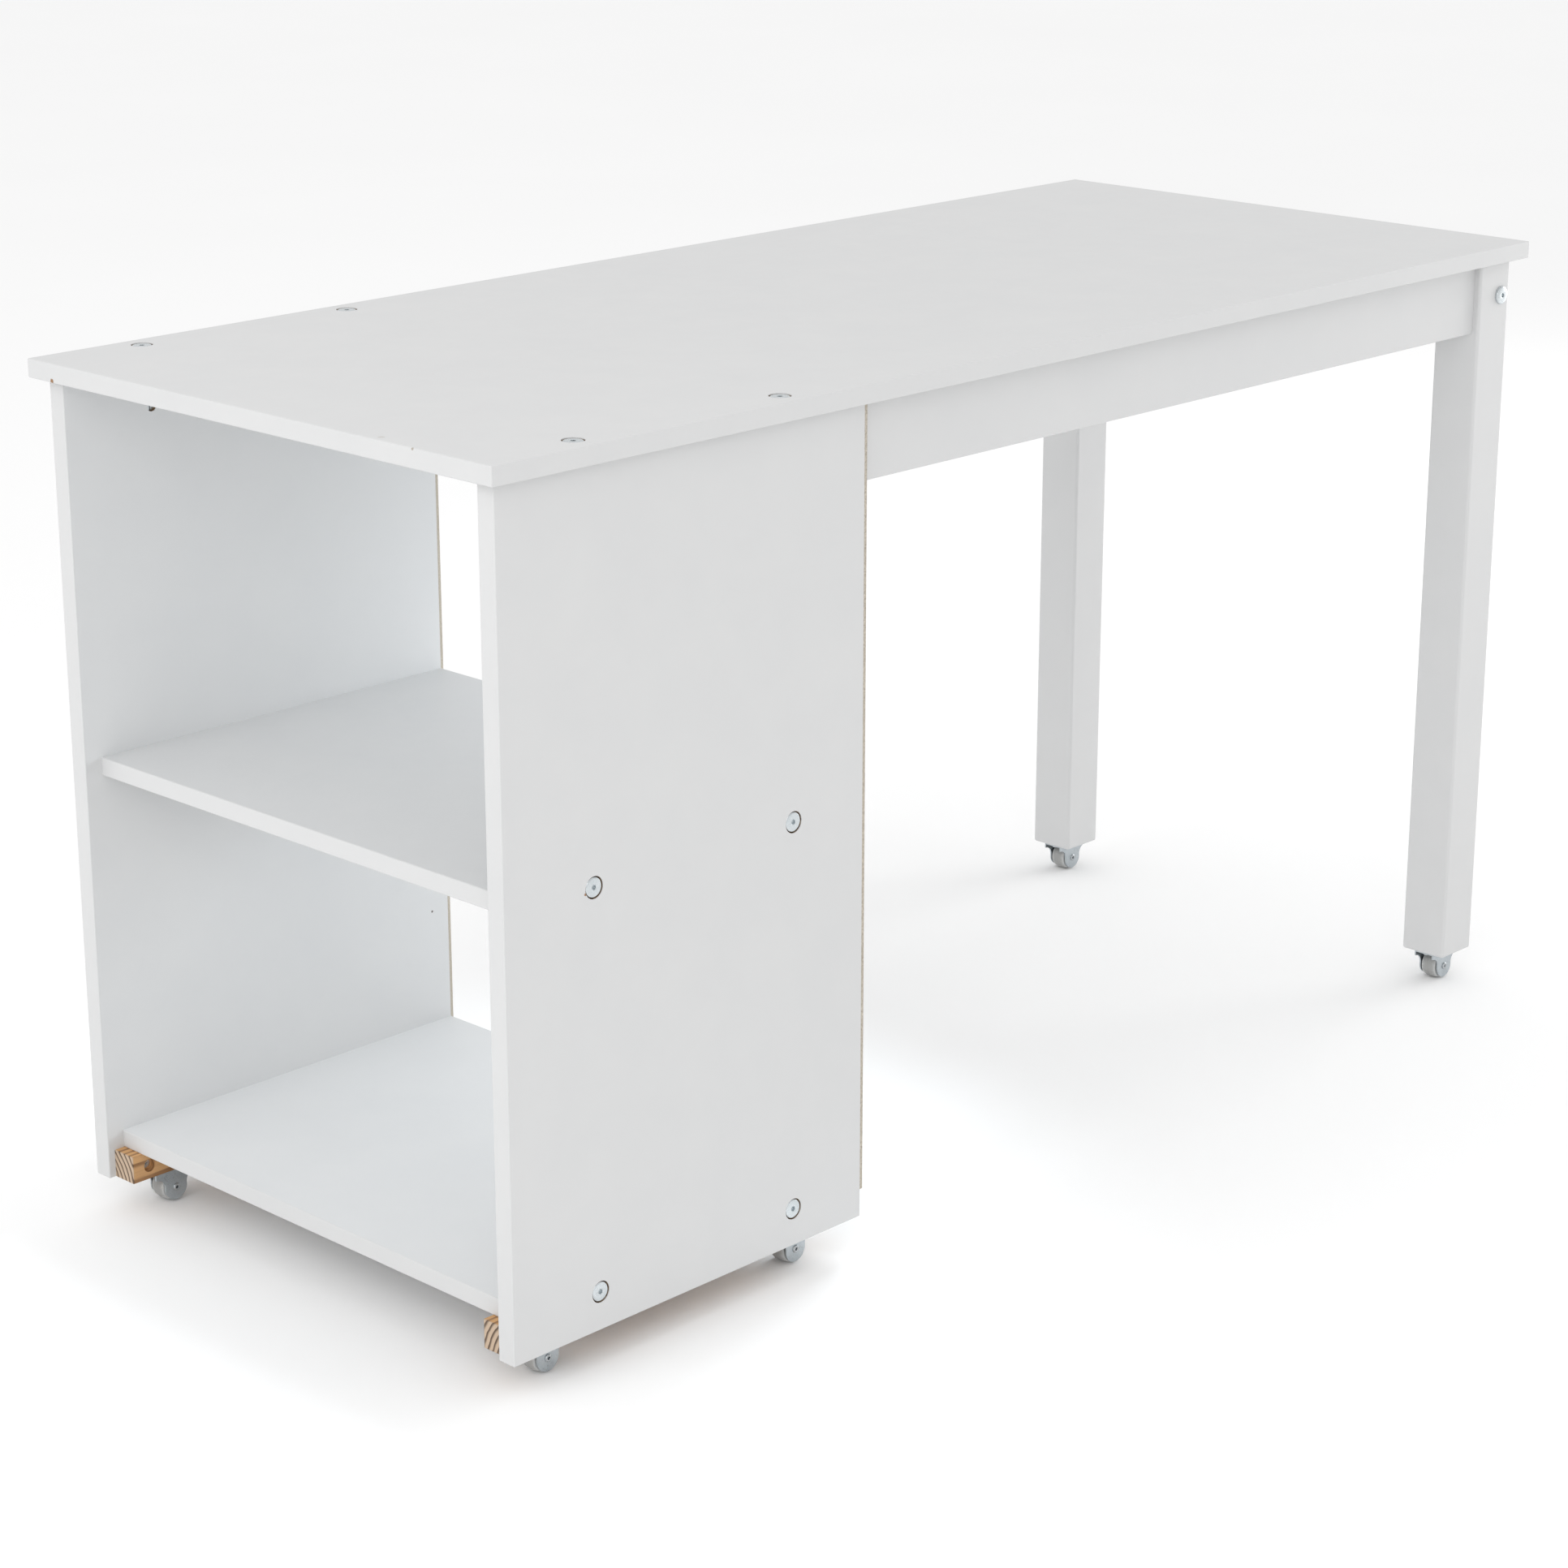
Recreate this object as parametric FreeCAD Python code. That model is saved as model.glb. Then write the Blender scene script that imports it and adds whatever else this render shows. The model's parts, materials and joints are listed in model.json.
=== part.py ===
"""A rolling sewing table: a bolted top over an open two-bay cabinet and a two-leg frame, on six casters.

Millimetres. +X runs from the cabinet to the legs, +Y from the front long side to the rear one, and +Z is up.
The origin is on the floor, under the middle of the top. Each piece is a node of its own in parts/.
"""

import FreeCAD, Part
import math
import os

V = FreeCAD.Vector
X, Y, Z = V(1, 0, 0), V(0, 1, 0), V(0, 0, 1)
FRONT, REAR = -1, 1
NEAR_ZERO = 1e-3

# --- driving dimensions ---------------------------------------------------------------------------------
LENGTH, DEPTH, HEIGHT = 1330.0, 564.0, 750.0

TOP_T = 16.0            # table top board
PANEL_T = 18.0          # cabinet side panels
SHELF_T = 16.0          # shelf boards
STRIP_T = 3.0           # hardboard strips on the side panels' back edges
ARRIS = 1.2             # rounding on painted board edges

OVERHANG = 12.0         # top beyond the side panels, at the open end and on both long sides
CABINET_W = 394.0       # side panel width, from the open end to the strips
SHELF_SETBACK = 17.0    # shelves behind the side panels' front edges
MIDDLE_SHELF_Z = 410.0  # its upper face

RAIL_H, RAIL_W = 25.0, 25.0
RAIL_SETBACK = 7.0      # rail ends inside the side panels' edges
RAIL_EDGE = 0.8

LEG = 49.0
LEG_INSET_X, LEG_INSET_Y = 11.0, 13.0
LEG_EDGE = 3.0
APRON_H, APRON_T = 68.0, 16.0
APRON_RECESS = 7.0      # aprons behind the legs' outer faces

BOLT_R, BOLT_HEAD_R, BOLT_HEAD_H = 3.0, 8.5, 3.2
BOLT_RIM, BOLT_TIP = 1.0, 0.8
HEX_ACROSS, HEX_DEEP = 4.0, 2.4
BOLT_HOLE_GAP = 0.5     # radial, round a bolt's shank
BOLT_SEAT_GAP = 0.75    # radial, round a bolt's head
BOLT_SINK = 0.3         # heads below the boards' faces
BOLT_PAST_NUT = 4.0
TOP_BOLT_INSET = 87.5   # from either end of a side panel
SHELF_BOLT_FRONT, SHELF_BOLT_BACK = 76.0, 81.0
PANEL_NUT_DOWN = 34.0   # barrel nut axis below a side panel's top edge
SHELF_NUT_IN = 32.0     # barrel nut axis in from a shelf's end
APRON_NUT_IN = 34.0
LONG_BOLT_DROP = 20.0   # the long aprons' bolts pass below the end apron's, inside the legs
NUT_R, NUT_L, NUT_THREAD_GAP = 5.0, 12.0, 0.05
NUT_SLOT_W, NUT_SLOT_DEEP = 1.2, 1.5

DOWEL_R, DOWEL_L, DOWEL_CHAMFER = 4.0, 30.0, 1.0
DOWEL_IN_PANEL, DOWEL_IN_TOP, DOWEL_IN_LEG = 12.0, 11.0, 15.0
DOWEL_SPREAD = 18.0     # apron dowels above and below the apron's middle
SLIM_DOWEL_R, SLIM_DOWEL_L, SLIM_IN_PANEL = 3.0, 24.0, 9.0

RAIL_SCREW_IN = 18.0    # from either end of a rail
RAIL_SCREW_BORE_R, RAIL_SCREW_BORE_DEEP = 6.0, 6.0
RAIL_SCREW_R, RAIL_SCREW_L, RAIL_SCREW_HEAD_R = 2.0, 30.0, 4.0

NAIL_R, NAIL_L, NAIL_HEAD_R, NAIL_HEAD_H = 0.8, 18.0, 2.0, 0.5
STRIP_NAILS, NAIL_MARGIN = 6, 40.0

BRACKET, BRACKET_W, BRACKET_T = 20.0, 16.0, 2.0
BRACKET_MARGIN = 60.0
BRACKETS_LONG, BRACKETS_END = 3, 2
SMALL_SCREW_R, SMALL_SCREW_L = 1.75, 14.0
SMALL_HEAD_R, SMALL_HEAD_H = 3.4, 1.8
CROSS_ACROSS, CROSS_W, CROSS_DEEP = 3.2, 0.8, 1.1

CASTER_FROM_OPEN, CASTER_FROM_BACK = 53.0, 58.0  # cabinet casters in from the side panels' vertical edges
FORK_W, FORK_T, FORK_PAST_WHEEL = 22.0, 1.5, 7.5
FORK_WING_H, FORK_LOBE_R, FORK_BEND = 5.5, 11.5, 1.2
FORK_SCREW_IN = 4.5     # caster screws in from the fork's ends
WHEEL_UNDER_FORK = 2.0  # room between a wheel and the fork's plate
WHEEL_R, WHEEL_W, WHEEL_FLAT, WHEEL_SHOULDER = 13.5, 16.0, 4.0, 1.5
HUB_R, HUB_GAP = 5.0, 0.3
AXLE_R, AXLE_GAP = 2.5, 0.06
RIVET_R, RIVET_H, RIVET_DIMPLE_R = 3.5, 1.3, 1.3

# --- places worked out from them ------------------------------------------------------------------------
LEG_BOLT_SINK = -BOLT_HEAD_H    # the leg bolts' heads stand on the legs
CASTER_H = 2 * WHEEL_R + WHEEL_UNDER_FORK + FORK_T
FORK_L = 2 * (WHEEL_R + FORK_PAST_WHEEL)
FORK_SCREW_X = FORK_L / 2 - FORK_SCREW_IN

UNDER_TOP = HEIGHT - TOP_T
X_OPEN = -LENGTH / 2 + OVERHANG
X_BACK = X_OPEN + CABINET_W
X_STRIP = X_BACK + STRIP_T
PANEL_OUT = DEPTH / 2 - OVERHANG
PANEL_IN = PANEL_OUT - PANEL_T
PANEL_MID = (PANEL_OUT + PANEL_IN) / 2
SHELF_X = X_OPEN + SHELF_SETBACK
BOTTOM_SHELF_Z = CASTER_H + RAIL_H + SHELF_T
SHELF_TOPS = (MIDDLE_SHELF_Z, BOTTOM_SHELF_Z)

LEG_X = (LENGTH / 2 - LEG_INSET_X - LEG, LENGTH / 2 - LEG_INSET_X)
LEG_OUT = DEPTH / 2 - LEG_INSET_Y
LEG_IN = LEG_OUT - LEG
LEG_MID = (LEG_OUT + LEG_IN) / 2
APRON_Z = (UNDER_TOP - APRON_H, UNDER_TOP)
APRON_MID_Z = UNDER_TOP - APRON_H / 2
LONG_APRON_OUT = LEG_OUT - APRON_RECESS
LONG_APRON_IN = LONG_APRON_OUT - APRON_T
LONG_APRON_MID = LONG_APRON_OUT - APRON_T / 2
SLIM_DOWEL_Y = (max(PANEL_IN, LONG_APRON_IN) + min(PANEL_OUT, LONG_APRON_OUT)) / 2
END_APRON_X = (LEG_X[1] - APRON_RECESS - APRON_T, LEG_X[1] - APRON_RECESS)
END_APRON_MID_X = sum(END_APRON_X) / 2
LONG_BOLT_Z = APRON_MID_Z - LONG_BOLT_DROP

RAIL_X = (X_OPEN + RAIL_SETBACK, X_BACK - RAIL_SETBACK)
RAIL_IN = PANEL_IN - RAIL_W
RAIL_MID = PANEL_IN - RAIL_W / 2
RAIL_MID_Z = CASTER_H + RAIL_H / 2
RAIL_SCREW_XS = (RAIL_X[0] + RAIL_SCREW_IN, RAIL_X[1] - RAIL_SCREW_IN)

TOP_BOLT_XS = (X_OPEN + TOP_BOLT_INSET, X_BACK - TOP_BOLT_INSET)
SHELF_BOLT_XS = (SHELF_X + SHELF_BOLT_FRONT, X_BACK - SHELF_BOLT_BACK)
SHELF_DOWEL_X = sum(SHELF_BOLT_XS) / 2
TOP_DOWEL_X = sum(TOP_BOLT_XS) / 2

CASTERS = {
    "front_left": (X_OPEN + CASTER_FROM_OPEN, -RAIL_MID),
    "rear_left": (X_OPEN + CASTER_FROM_OPEN, RAIL_MID),
    "front_middle": (X_BACK - CASTER_FROM_BACK, -RAIL_MID),
    "rear_middle": (X_BACK - CASTER_FROM_BACK, RAIL_MID),
    "front_right": (sum(LEG_X) / 2, -LEG_MID),
    "rear_right": (sum(LEG_X) / 2, LEG_MID),
}
SIDES = {"front": FRONT, "rear": REAR}


# --- shapes that many pieces share ----------------------------------------------------------------------
def block(x, y, z):
    """A block between the (low, high) pairs along each axis."""
    return Part.makeBox(x[1] - x[0], y[1] - y[0], z[1] - z[0], V(x[0], y[0], z[0]))


def on_side(side, near, far):
    """The (low, high) pair in Y of what lies from near to far off the middle plane, on the front or rear."""
    return tuple(sorted((side * near, side * far)))


def rod(radius, start, direction, length):
    return Part.makeCylinder(radius, length, start, direction)


def rounded(solid, radius, wanted):
    """Rounds the edges whose middle point is wanted."""
    return solid.makeFillet(radius, [e for e in solid.Edges if wanted(e.CenterOfMass)])


def without(solid, tools):
    return solid.cut(Part.makeCompound(tools)).Solids[0] if tools else solid


def turned_profile(points):
    """A solid turned about Z from the (radius, z) outline, which closes along the axis."""
    wire = Part.makePolygon([V(r, 0, z) for r, z in points + points[:1]])
    return Part.Face(wire).revolve(V(), Z, 360)


def placed(shape, point, outward, across=None):
    """A copy whose +Z points outward and, if across is given, whose +X points across, set down at point."""
    piece = shape.copy()
    if across is None:
        turn = FreeCAD.Rotation(Z, outward)
    else:
        turn = FreeCAD.Rotation(across, outward.cross(across), outward, "ZXY")
    piece.Placement = FreeCAD.Placement(point, turn)
    return piece


def evenly(low, high, count):
    return [low + (high - low) * i / (count - 1) for i in range(count)]


def save(name, solids):
    shape = Part.makeCompound(solids) if len(solids) > 1 else solids[0]
    shape.exportStep(os.path.join("parts", name + ".step"))
    print(f"{name:28s} solids {len(solids):2d}  volume {shape.Volume:12.1f}  valid {shape.isValid()}")


# --- fasteners ------------------------------------------------------------------------------------------
def bolt(length):
    """A flat-head connector bolt, its face at z = 0 and its shank pointing down."""
    head = rounded(
        rod(BOLT_HEAD_R, V(0, 0, -BOLT_HEAD_H), Z, BOLT_HEAD_H), BOLT_RIM, lambda c: c.z > -NEAR_ZERO
    )
    shank = turned_profile([
        (0, -BOLT_HEAD_H / 2), (BOLT_R, -BOLT_HEAD_H / 2), (BOLT_R, BOLT_TIP - length),
        (BOLT_R - BOLT_TIP, -length), (0, -length),
    ])
    corner = HEX_ACROSS / math.sqrt(3)
    hexagon = [V(corner * math.cos(a), corner * math.sin(a), -HEX_DEEP) for a in
               [math.radians(60 * i) for i in range(7)]]
    socket = Part.Face(Part.makePolygon(hexagon)).extrude(V(0, 0, 2 * HEX_DEEP))
    return head.fuse(shank).cut(socket).Solids[0]


def bolt_bore(face_point, outward, sink, length):
    """The clearance hole that a bolt's shank needs, as a cutting tool."""
    return rod(BOLT_R + BOLT_HOLE_GAP, face_point, -outward, sink + length + BOLT_TIP)


def bolt_hole(face_point, outward, length):
    """The seat and the clearance hole of a sunk bolt, as cutting tools."""
    seat = rod(BOLT_HEAD_R + BOLT_SEAT_GAP, face_point + outward, -outward, BOLT_SINK + BOLT_HEAD_H + 1)
    return [seat, bolt_bore(face_point, outward, BOLT_SINK, length)]


def barrel_nut():
    """A cross dowel: a short rod along Z, threaded through along X, with a driver slot in its upper end."""
    body = rod(NUT_R, V(0, 0, -NUT_L / 2), Z, NUT_L)
    thread = rod(BOLT_R + NUT_THREAD_GAP, V(-2 * NUT_R, 0, 0), X, 4 * NUT_R)
    slot = block((-NUT_R, NUT_R), (-NUT_SLOT_W / 2, NUT_SLOT_W / 2), (NUT_L / 2 - NUT_SLOT_DEEP, NUT_L))
    return body.cut(thread).cut(slot).Solids[0]


def nut_hole(middle, outward, board_t):
    """The blind hole that a barrel nut needs, from the board's face to the nut's far end."""
    return rod(NUT_R, middle + outward * board_t, -outward, board_t + NUT_L / 2)


def dowel(radius, length):
    """A wooden dowel along Z from the origin, chamfered at both ends."""
    end_r = radius - DOWEL_CHAMFER
    return turned_profile([
        (0, 0), (end_r, 0), (radius, DOWEL_CHAMFER), (radius, length - DOWEL_CHAMFER), (end_r, length),
        (0, length),
    ])


def cross_recess(depth):
    half, thin = CROSS_ACROSS / 2, CROSS_W / 2
    bar = block((-half, half), (-thin, thin), (-depth, 1))
    return bar.fuse(block((-thin, thin), (-half, half), (-depth, 1)))


def small_screw():
    """A pan-head wood screw whose head rests on z = 0 and whose point is below."""
    body = turned_profile([
        (0, SMALL_HEAD_H), (SMALL_HEAD_R * 0.6, SMALL_HEAD_H), (SMALL_HEAD_R, SMALL_HEAD_H * 0.45),
        (SMALL_HEAD_R, 0), (SMALL_SCREW_R, 0), (SMALL_SCREW_R, 2 * SMALL_SCREW_R - SMALL_SCREW_L),
        (0, -SMALL_SCREW_L),
    ])
    recess = cross_recess(CROSS_DEEP)
    recess.translate(V(0, 0, SMALL_HEAD_H))
    return body.cut(recess).Solids[0]


def small_screw_hole(seat, outward):
    return rod(SMALL_SCREW_R, seat, -outward, SMALL_SCREW_L)


def rail_screw():
    """A countersunk wood screw, its face at z = 0 and its point below."""
    body = turned_profile([
        (0, 0), (RAIL_SCREW_HEAD_R, 0), (RAIL_SCREW_R, RAIL_SCREW_R - RAIL_SCREW_HEAD_R),
        (RAIL_SCREW_R, 2 * RAIL_SCREW_R - RAIL_SCREW_L), (0, -RAIL_SCREW_L),
    ])
    return body.cut(cross_recess(2 * CROSS_DEEP)).Solids[0]


def rail_screw_hole(face_point, outward):
    """The counterbore, countersink and pilot for a rail screw that goes in at face_point."""
    seat = face_point - outward * RAIL_SCREW_BORE_DEEP
    sink_h = RAIL_SCREW_HEAD_R - RAIL_SCREW_R
    return [
        rod(RAIL_SCREW_BORE_R, face_point + outward, -outward, RAIL_SCREW_BORE_DEEP + 1),
        Part.makeCone(RAIL_SCREW_HEAD_R, RAIL_SCREW_R, sink_h, seat, -outward),
        rod(RAIL_SCREW_R, seat, -outward, RAIL_SCREW_L),
    ]


def nail():
    """A wire nail whose head rests on z = 0 and whose point is below."""
    return turned_profile([
        (0, NAIL_HEAD_H), (NAIL_HEAD_R, NAIL_HEAD_H), (NAIL_HEAD_R, 0), (NAIL_R, 0),
        (NAIL_R, 2 * NAIL_R - NAIL_L), (0, -NAIL_L),
    ])


# --- where the fasteners go, for the pieces and for the holes they need ---------------------------------
def shelf_mid_z(top_z):
    return top_z - SHELF_T / 2


def top_bolt_length():
    return TOP_T - BOLT_SINK + PANEL_NUT_DOWN + NUT_R + BOLT_PAST_NUT


def shelf_bolt_length():
    return PANEL_T - BOLT_SINK + SHELF_NUT_IN + NUT_R + BOLT_PAST_NUT


def leg_bolt_length():
    return LEG - LEG_BOLT_SINK + APRON_NUT_IN + NUT_R + BOLT_PAST_NUT


def top_bolt_seats():
    return [(V(x, side * PANEL_MID, HEIGHT), Z) for side in SIDES.values() for x in TOP_BOLT_XS]


def shelf_bolt_seats(side):
    """Where the shelf bolts of one side panel go in, on its outer face."""
    return [(V(x, side * PANEL_OUT, shelf_mid_z(z)), Y * side) for z in SHELF_TOPS for x in SHELF_BOLT_XS]


def leg_bolt_seats(side):
    """Into the end apron through the leg's long-side face, and into the long apron through its end face."""
    return [
        (V(END_APRON_MID_X, side * LEG_OUT, APRON_MID_Z), Y * side),
        (V(LEG_X[1], side * LONG_APRON_MID, LONG_BOLT_Z), X),
    ]


def panel_nuts(side):
    """(middle, slotted end's direction, bolt's direction) of each barrel nut in a side panel's inner face."""
    return [(V(x, side * PANEL_MID, UNDER_TOP - PANEL_NUT_DOWN), Y * -side, Z) for x in TOP_BOLT_XS]


def shelf_nuts(top_z):
    return [
        (V(x, side * (PANEL_IN - SHELF_NUT_IN), shelf_mid_z(top_z)), -Z, Y)
        for side in SIDES.values() for x in SHELF_BOLT_XS
    ]


def end_apron_nuts():
    return [
        (V(END_APRON_MID_X, side * (LEG_IN - APRON_NUT_IN), APRON_MID_Z), -X, Y) for side in SIDES.values()
    ]


def long_apron_nut(side):
    return (V(LEG_X[0] - APRON_NUT_IN, side * LONG_APRON_MID, LONG_BOLT_Z), Y * -side, X)


def shelf_dowels(top_z):
    """(end, direction) of each dowel, starting inside the side panel."""
    start = PANEL_IN + DOWEL_IN_PANEL
    return [(V(SHELF_DOWEL_X, side * start, shelf_mid_z(top_z)), Y * -side) for side in SIDES.values()]


def top_dowel(side):
    return (V(TOP_DOWEL_X, side * PANEL_MID, UNDER_TOP + DOWEL_IN_TOP), -Z)


def end_apron_dowels(side):
    zs = (APRON_MID_Z - DOWEL_SPREAD, APRON_MID_Z + DOWEL_SPREAD)
    return [(V(END_APRON_MID_X, side * (LEG_IN + DOWEL_IN_LEG), z), Y * -side) for z in zs]


def long_apron_dowels(side):
    zs = (APRON_MID_Z, APRON_MID_Z + DOWEL_SPREAD)
    return [(V(LEG_X[0] + DOWEL_IN_LEG, side * LONG_APRON_MID, z), -X) for z in zs]


def slim_dowels(side):
    """From the side panel's back edge, through the strip, into the long apron's end."""
    zs = (APRON_MID_Z - DOWEL_SPREAD, APRON_MID_Z + DOWEL_SPREAD)
    return [(V(X_BACK - SLIM_IN_PANEL, side * SLIM_DOWEL_Y, z), X) for z in zs]


def dowel_holes(dowels, radius=DOWEL_R, length=DOWEL_L):
    return [rod(radius, start, direction, length) for start, direction in dowels]


def slim_dowel_holes(side):
    return dowel_holes(slim_dowels(side), SLIM_DOWEL_R, SLIM_DOWEL_L)


def nail_seats(side):
    """Up a strip's middle, clear of the apron's end."""
    zs = evenly(BOTTOM_SHELF_Z - SHELF_T + NAIL_MARGIN, APRON_Z[0] - NAIL_MARGIN, STRIP_NAILS)
    return [V(X_STRIP, side * PANEL_MID, z) for z in zs]


def nail_holes(seats):
    return [rod(NAIL_R, seat, -X, NAIL_L) for seat in seats]


def bracket_places():
    """(corner under the top on the apron's inner face, direction away from the apron, direction along it)."""
    xs = evenly(X_STRIP + BRACKET_MARGIN, LEG_X[0] - BRACKET_MARGIN, BRACKETS_LONG)
    ys = evenly(-LEG_IN + BRACKET_MARGIN, LEG_IN - BRACKET_MARGIN, BRACKETS_END)
    long_ones = [(V(x, side * LONG_APRON_IN, UNDER_TOP), Y * -side) for side in SIDES.values() for x in xs]
    return long_ones + [(V(END_APRON_X[0], y, UNDER_TOP), -X) for y in ys]


def bracket_screw_seats(corner, away):
    """One screw goes up into the top and one sideways into the apron."""
    reach = (BRACKET + BRACKET_T) / 2
    return [
        (corner + away * reach - Z * BRACKET_T, -Z),
        (corner - Z * reach + away * BRACKET_T, away),
    ]


def bracket_screw_holes(wanted_outward=None):
    seats = [s for corner, away in bracket_places() for s in bracket_screw_seats(corner, away)]
    return [small_screw_hole(p, out) for p, out in seats if wanted_outward is None or out == wanted_outward]


def caster_screw_seats(place):
    x, y = place
    return [(V(x + dx, y, CASTER_H - FORK_T), -Z) for dx in (-FORK_SCREW_X, FORK_SCREW_X)]


# --- boards ---------------------------------------------------------------------------------------------
def table_top():
    board = block((-LENGTH / 2, LENGTH / 2), (-DEPTH / 2, DEPTH / 2), (UNDER_TOP, HEIGHT))
    board = rounded(board, ARRIS, lambda c: True)
    tools = [t for p, out in top_bolt_seats() for t in bolt_hole(p, out, top_bolt_length())]
    tools += dowel_holes([top_dowel(side) for side in SIDES.values()])
    tools += bracket_screw_holes(-Z)
    return without(board, tools)


def side_panel(side):
    board = block((X_OPEN, X_BACK), on_side(side, PANEL_IN, PANEL_OUT), (CASTER_H, UNDER_TOP))
    board = rounded(board, ARRIS, lambda c: c.z < UNDER_TOP - NEAR_ZERO and c.x < X_BACK - NEAR_ZERO)
    tools = []
    for p, out in top_bolt_seats():
        tools.append(bolt_bore(p, out, BOLT_SINK, top_bolt_length()))
    for p, out in shelf_bolt_seats(side):
        tools += bolt_hole(p, out, shelf_bolt_length())
    tools += [nut_hole(p, out, PANEL_T) for p, out, _ in panel_nuts(side)]
    dowels = [d for z in SHELF_TOPS for d in shelf_dowels(z)] + [top_dowel(side)]
    tools += dowel_holes(dowels)
    for x in RAIL_SCREW_XS:
        tools += rail_screw_hole(V(x, side * RAIL_IN, RAIL_MID_Z), Y * -side)[2:]
    tools += slim_dowel_holes(side) + nail_holes(nail_seats(side))
    return without(board, tools)


def shelf(top_z):
    board = block((SHELF_X, X_BACK), (-PANEL_IN, PANEL_IN), (top_z - SHELF_T, top_z))
    board = rounded(board, ARRIS, lambda c: c.x < SHELF_X + NEAR_ZERO and abs(c.y) < NEAR_ZERO)
    tools = []
    for side in SIDES.values():
        for p, out in shelf_bolt_seats(side):
            if abs(p.z - shelf_mid_z(top_z)) < NEAR_ZERO:
                tools.append(bolt_bore(p, out, BOLT_SINK, shelf_bolt_length()))
    tools += [nut_hole(p, out, SHELF_T) for p, out, _ in shelf_nuts(top_z)]
    tools += dowel_holes(shelf_dowels(top_z))
    return without(board, tools)


def edge_strip(side):
    """Covers a side panel's raw back edge, from the bottom shelf's underside to the top."""
    z = (BOTTOM_SHELF_Z - SHELF_T, UNDER_TOP)
    strip = block((X_BACK, X_STRIP), on_side(side, PANEL_IN, PANEL_OUT), z)
    return without(strip, nail_holes(nail_seats(side)) + slim_dowel_holes(side))


def caster_rail(side):
    rail = block(RAIL_X, on_side(side, RAIL_IN, PANEL_IN), (CASTER_H, CASTER_H + RAIL_H))
    free = lambda c: c.z < CASTER_H + RAIL_H - NEAR_ZERO and abs(c.y) < PANEL_IN - NEAR_ZERO
    rail = rounded(rail, RAIL_EDGE, free)
    tools = []
    for x in RAIL_SCREW_XS:
        tools += rail_screw_hole(V(x, side * RAIL_IN, RAIL_MID_Z), Y * -side)
    for x, y in CASTERS.values():
        if abs(y - side * RAIL_MID) < NEAR_ZERO:
            tools += [small_screw_hole(p, out) for p, out in caster_screw_seats((x, y))]
    return without(rail, tools)


# --- leg frame ------------------------------------------------------------------------------------------
def leg(side):
    post = block(LEG_X, on_side(side, LEG_IN, LEG_OUT), (CASTER_H, UNDER_TOP))
    post = rounded(post, LEG_EDGE, lambda c: c.z < UNDER_TOP - NEAR_ZERO)
    tools = []
    for p, out in leg_bolt_seats(side):
        tools.append(bolt_bore(p, out, LEG_BOLT_SINK, leg_bolt_length()))
    tools += dowel_holes(end_apron_dowels(side) + long_apron_dowels(side))
    place = (sum(LEG_X) / 2, side * LEG_MID)
    tools += [small_screw_hole(p, out) for p, out in caster_screw_seats(place)]
    return without(post, tools)


def long_apron(side):
    x = (X_STRIP, LEG_X[0])
    board = block(x, on_side(side, LONG_APRON_IN, LONG_APRON_OUT), APRON_Z)
    lower = lambda c: c.z < APRON_Z[0] + NEAR_ZERO and abs(c.x - sum(x) / 2) < NEAR_ZERO
    board = rounded(board, ARRIS, lower)
    nut, out, _ = long_apron_nut(side)
    tools = [bolt_bore(*leg_bolt_seats(side)[1], LEG_BOLT_SINK, leg_bolt_length())]
    tools += [nut_hole(nut, out, APRON_T)] + dowel_holes(long_apron_dowels(side)) + slim_dowel_holes(side)
    tools += bracket_screw_holes(Y * -side)
    return without(board, tools)


def end_apron():
    board = block(END_APRON_X, (-LEG_IN, LEG_IN), APRON_Z)
    board = rounded(board, ARRIS, lambda c: c.z < APRON_Z[0] + NEAR_ZERO and abs(c.y) < NEAR_ZERO)
    tools = [nut_hole(p, out, APRON_T) for p, out, _ in end_apron_nuts()] + bracket_screw_holes(-X)
    for side in SIDES.values():
        tools.append(bolt_bore(*leg_bolt_seats(side)[0], LEG_BOLT_SINK, leg_bolt_length()))
        tools += dowel_holes(end_apron_dowels(side))
    return without(board, tools)


def corner_bracket(corner, away):
    """A steel angle under the top, against an apron's inner face."""
    along = away.cross(Z)
    half = along * (BRACKET_W / 2)
    outline = [V(), away * BRACKET, away * BRACKET - Z * BRACKET_T, away * BRACKET_T - Z * BRACKET_T,
               away * BRACKET_T - Z * BRACKET, -Z * BRACKET]
    face = Part.Face(Part.makePolygon([corner - half + p for p in outline + outline[:1]]))
    angle = face.extrude(along * BRACKET_W)
    tools = [rod(SMALL_SCREW_R, p, -out, BRACKET_T) for p, out in bracket_screw_seats(corner, away)]
    return without(angle, tools)


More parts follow.
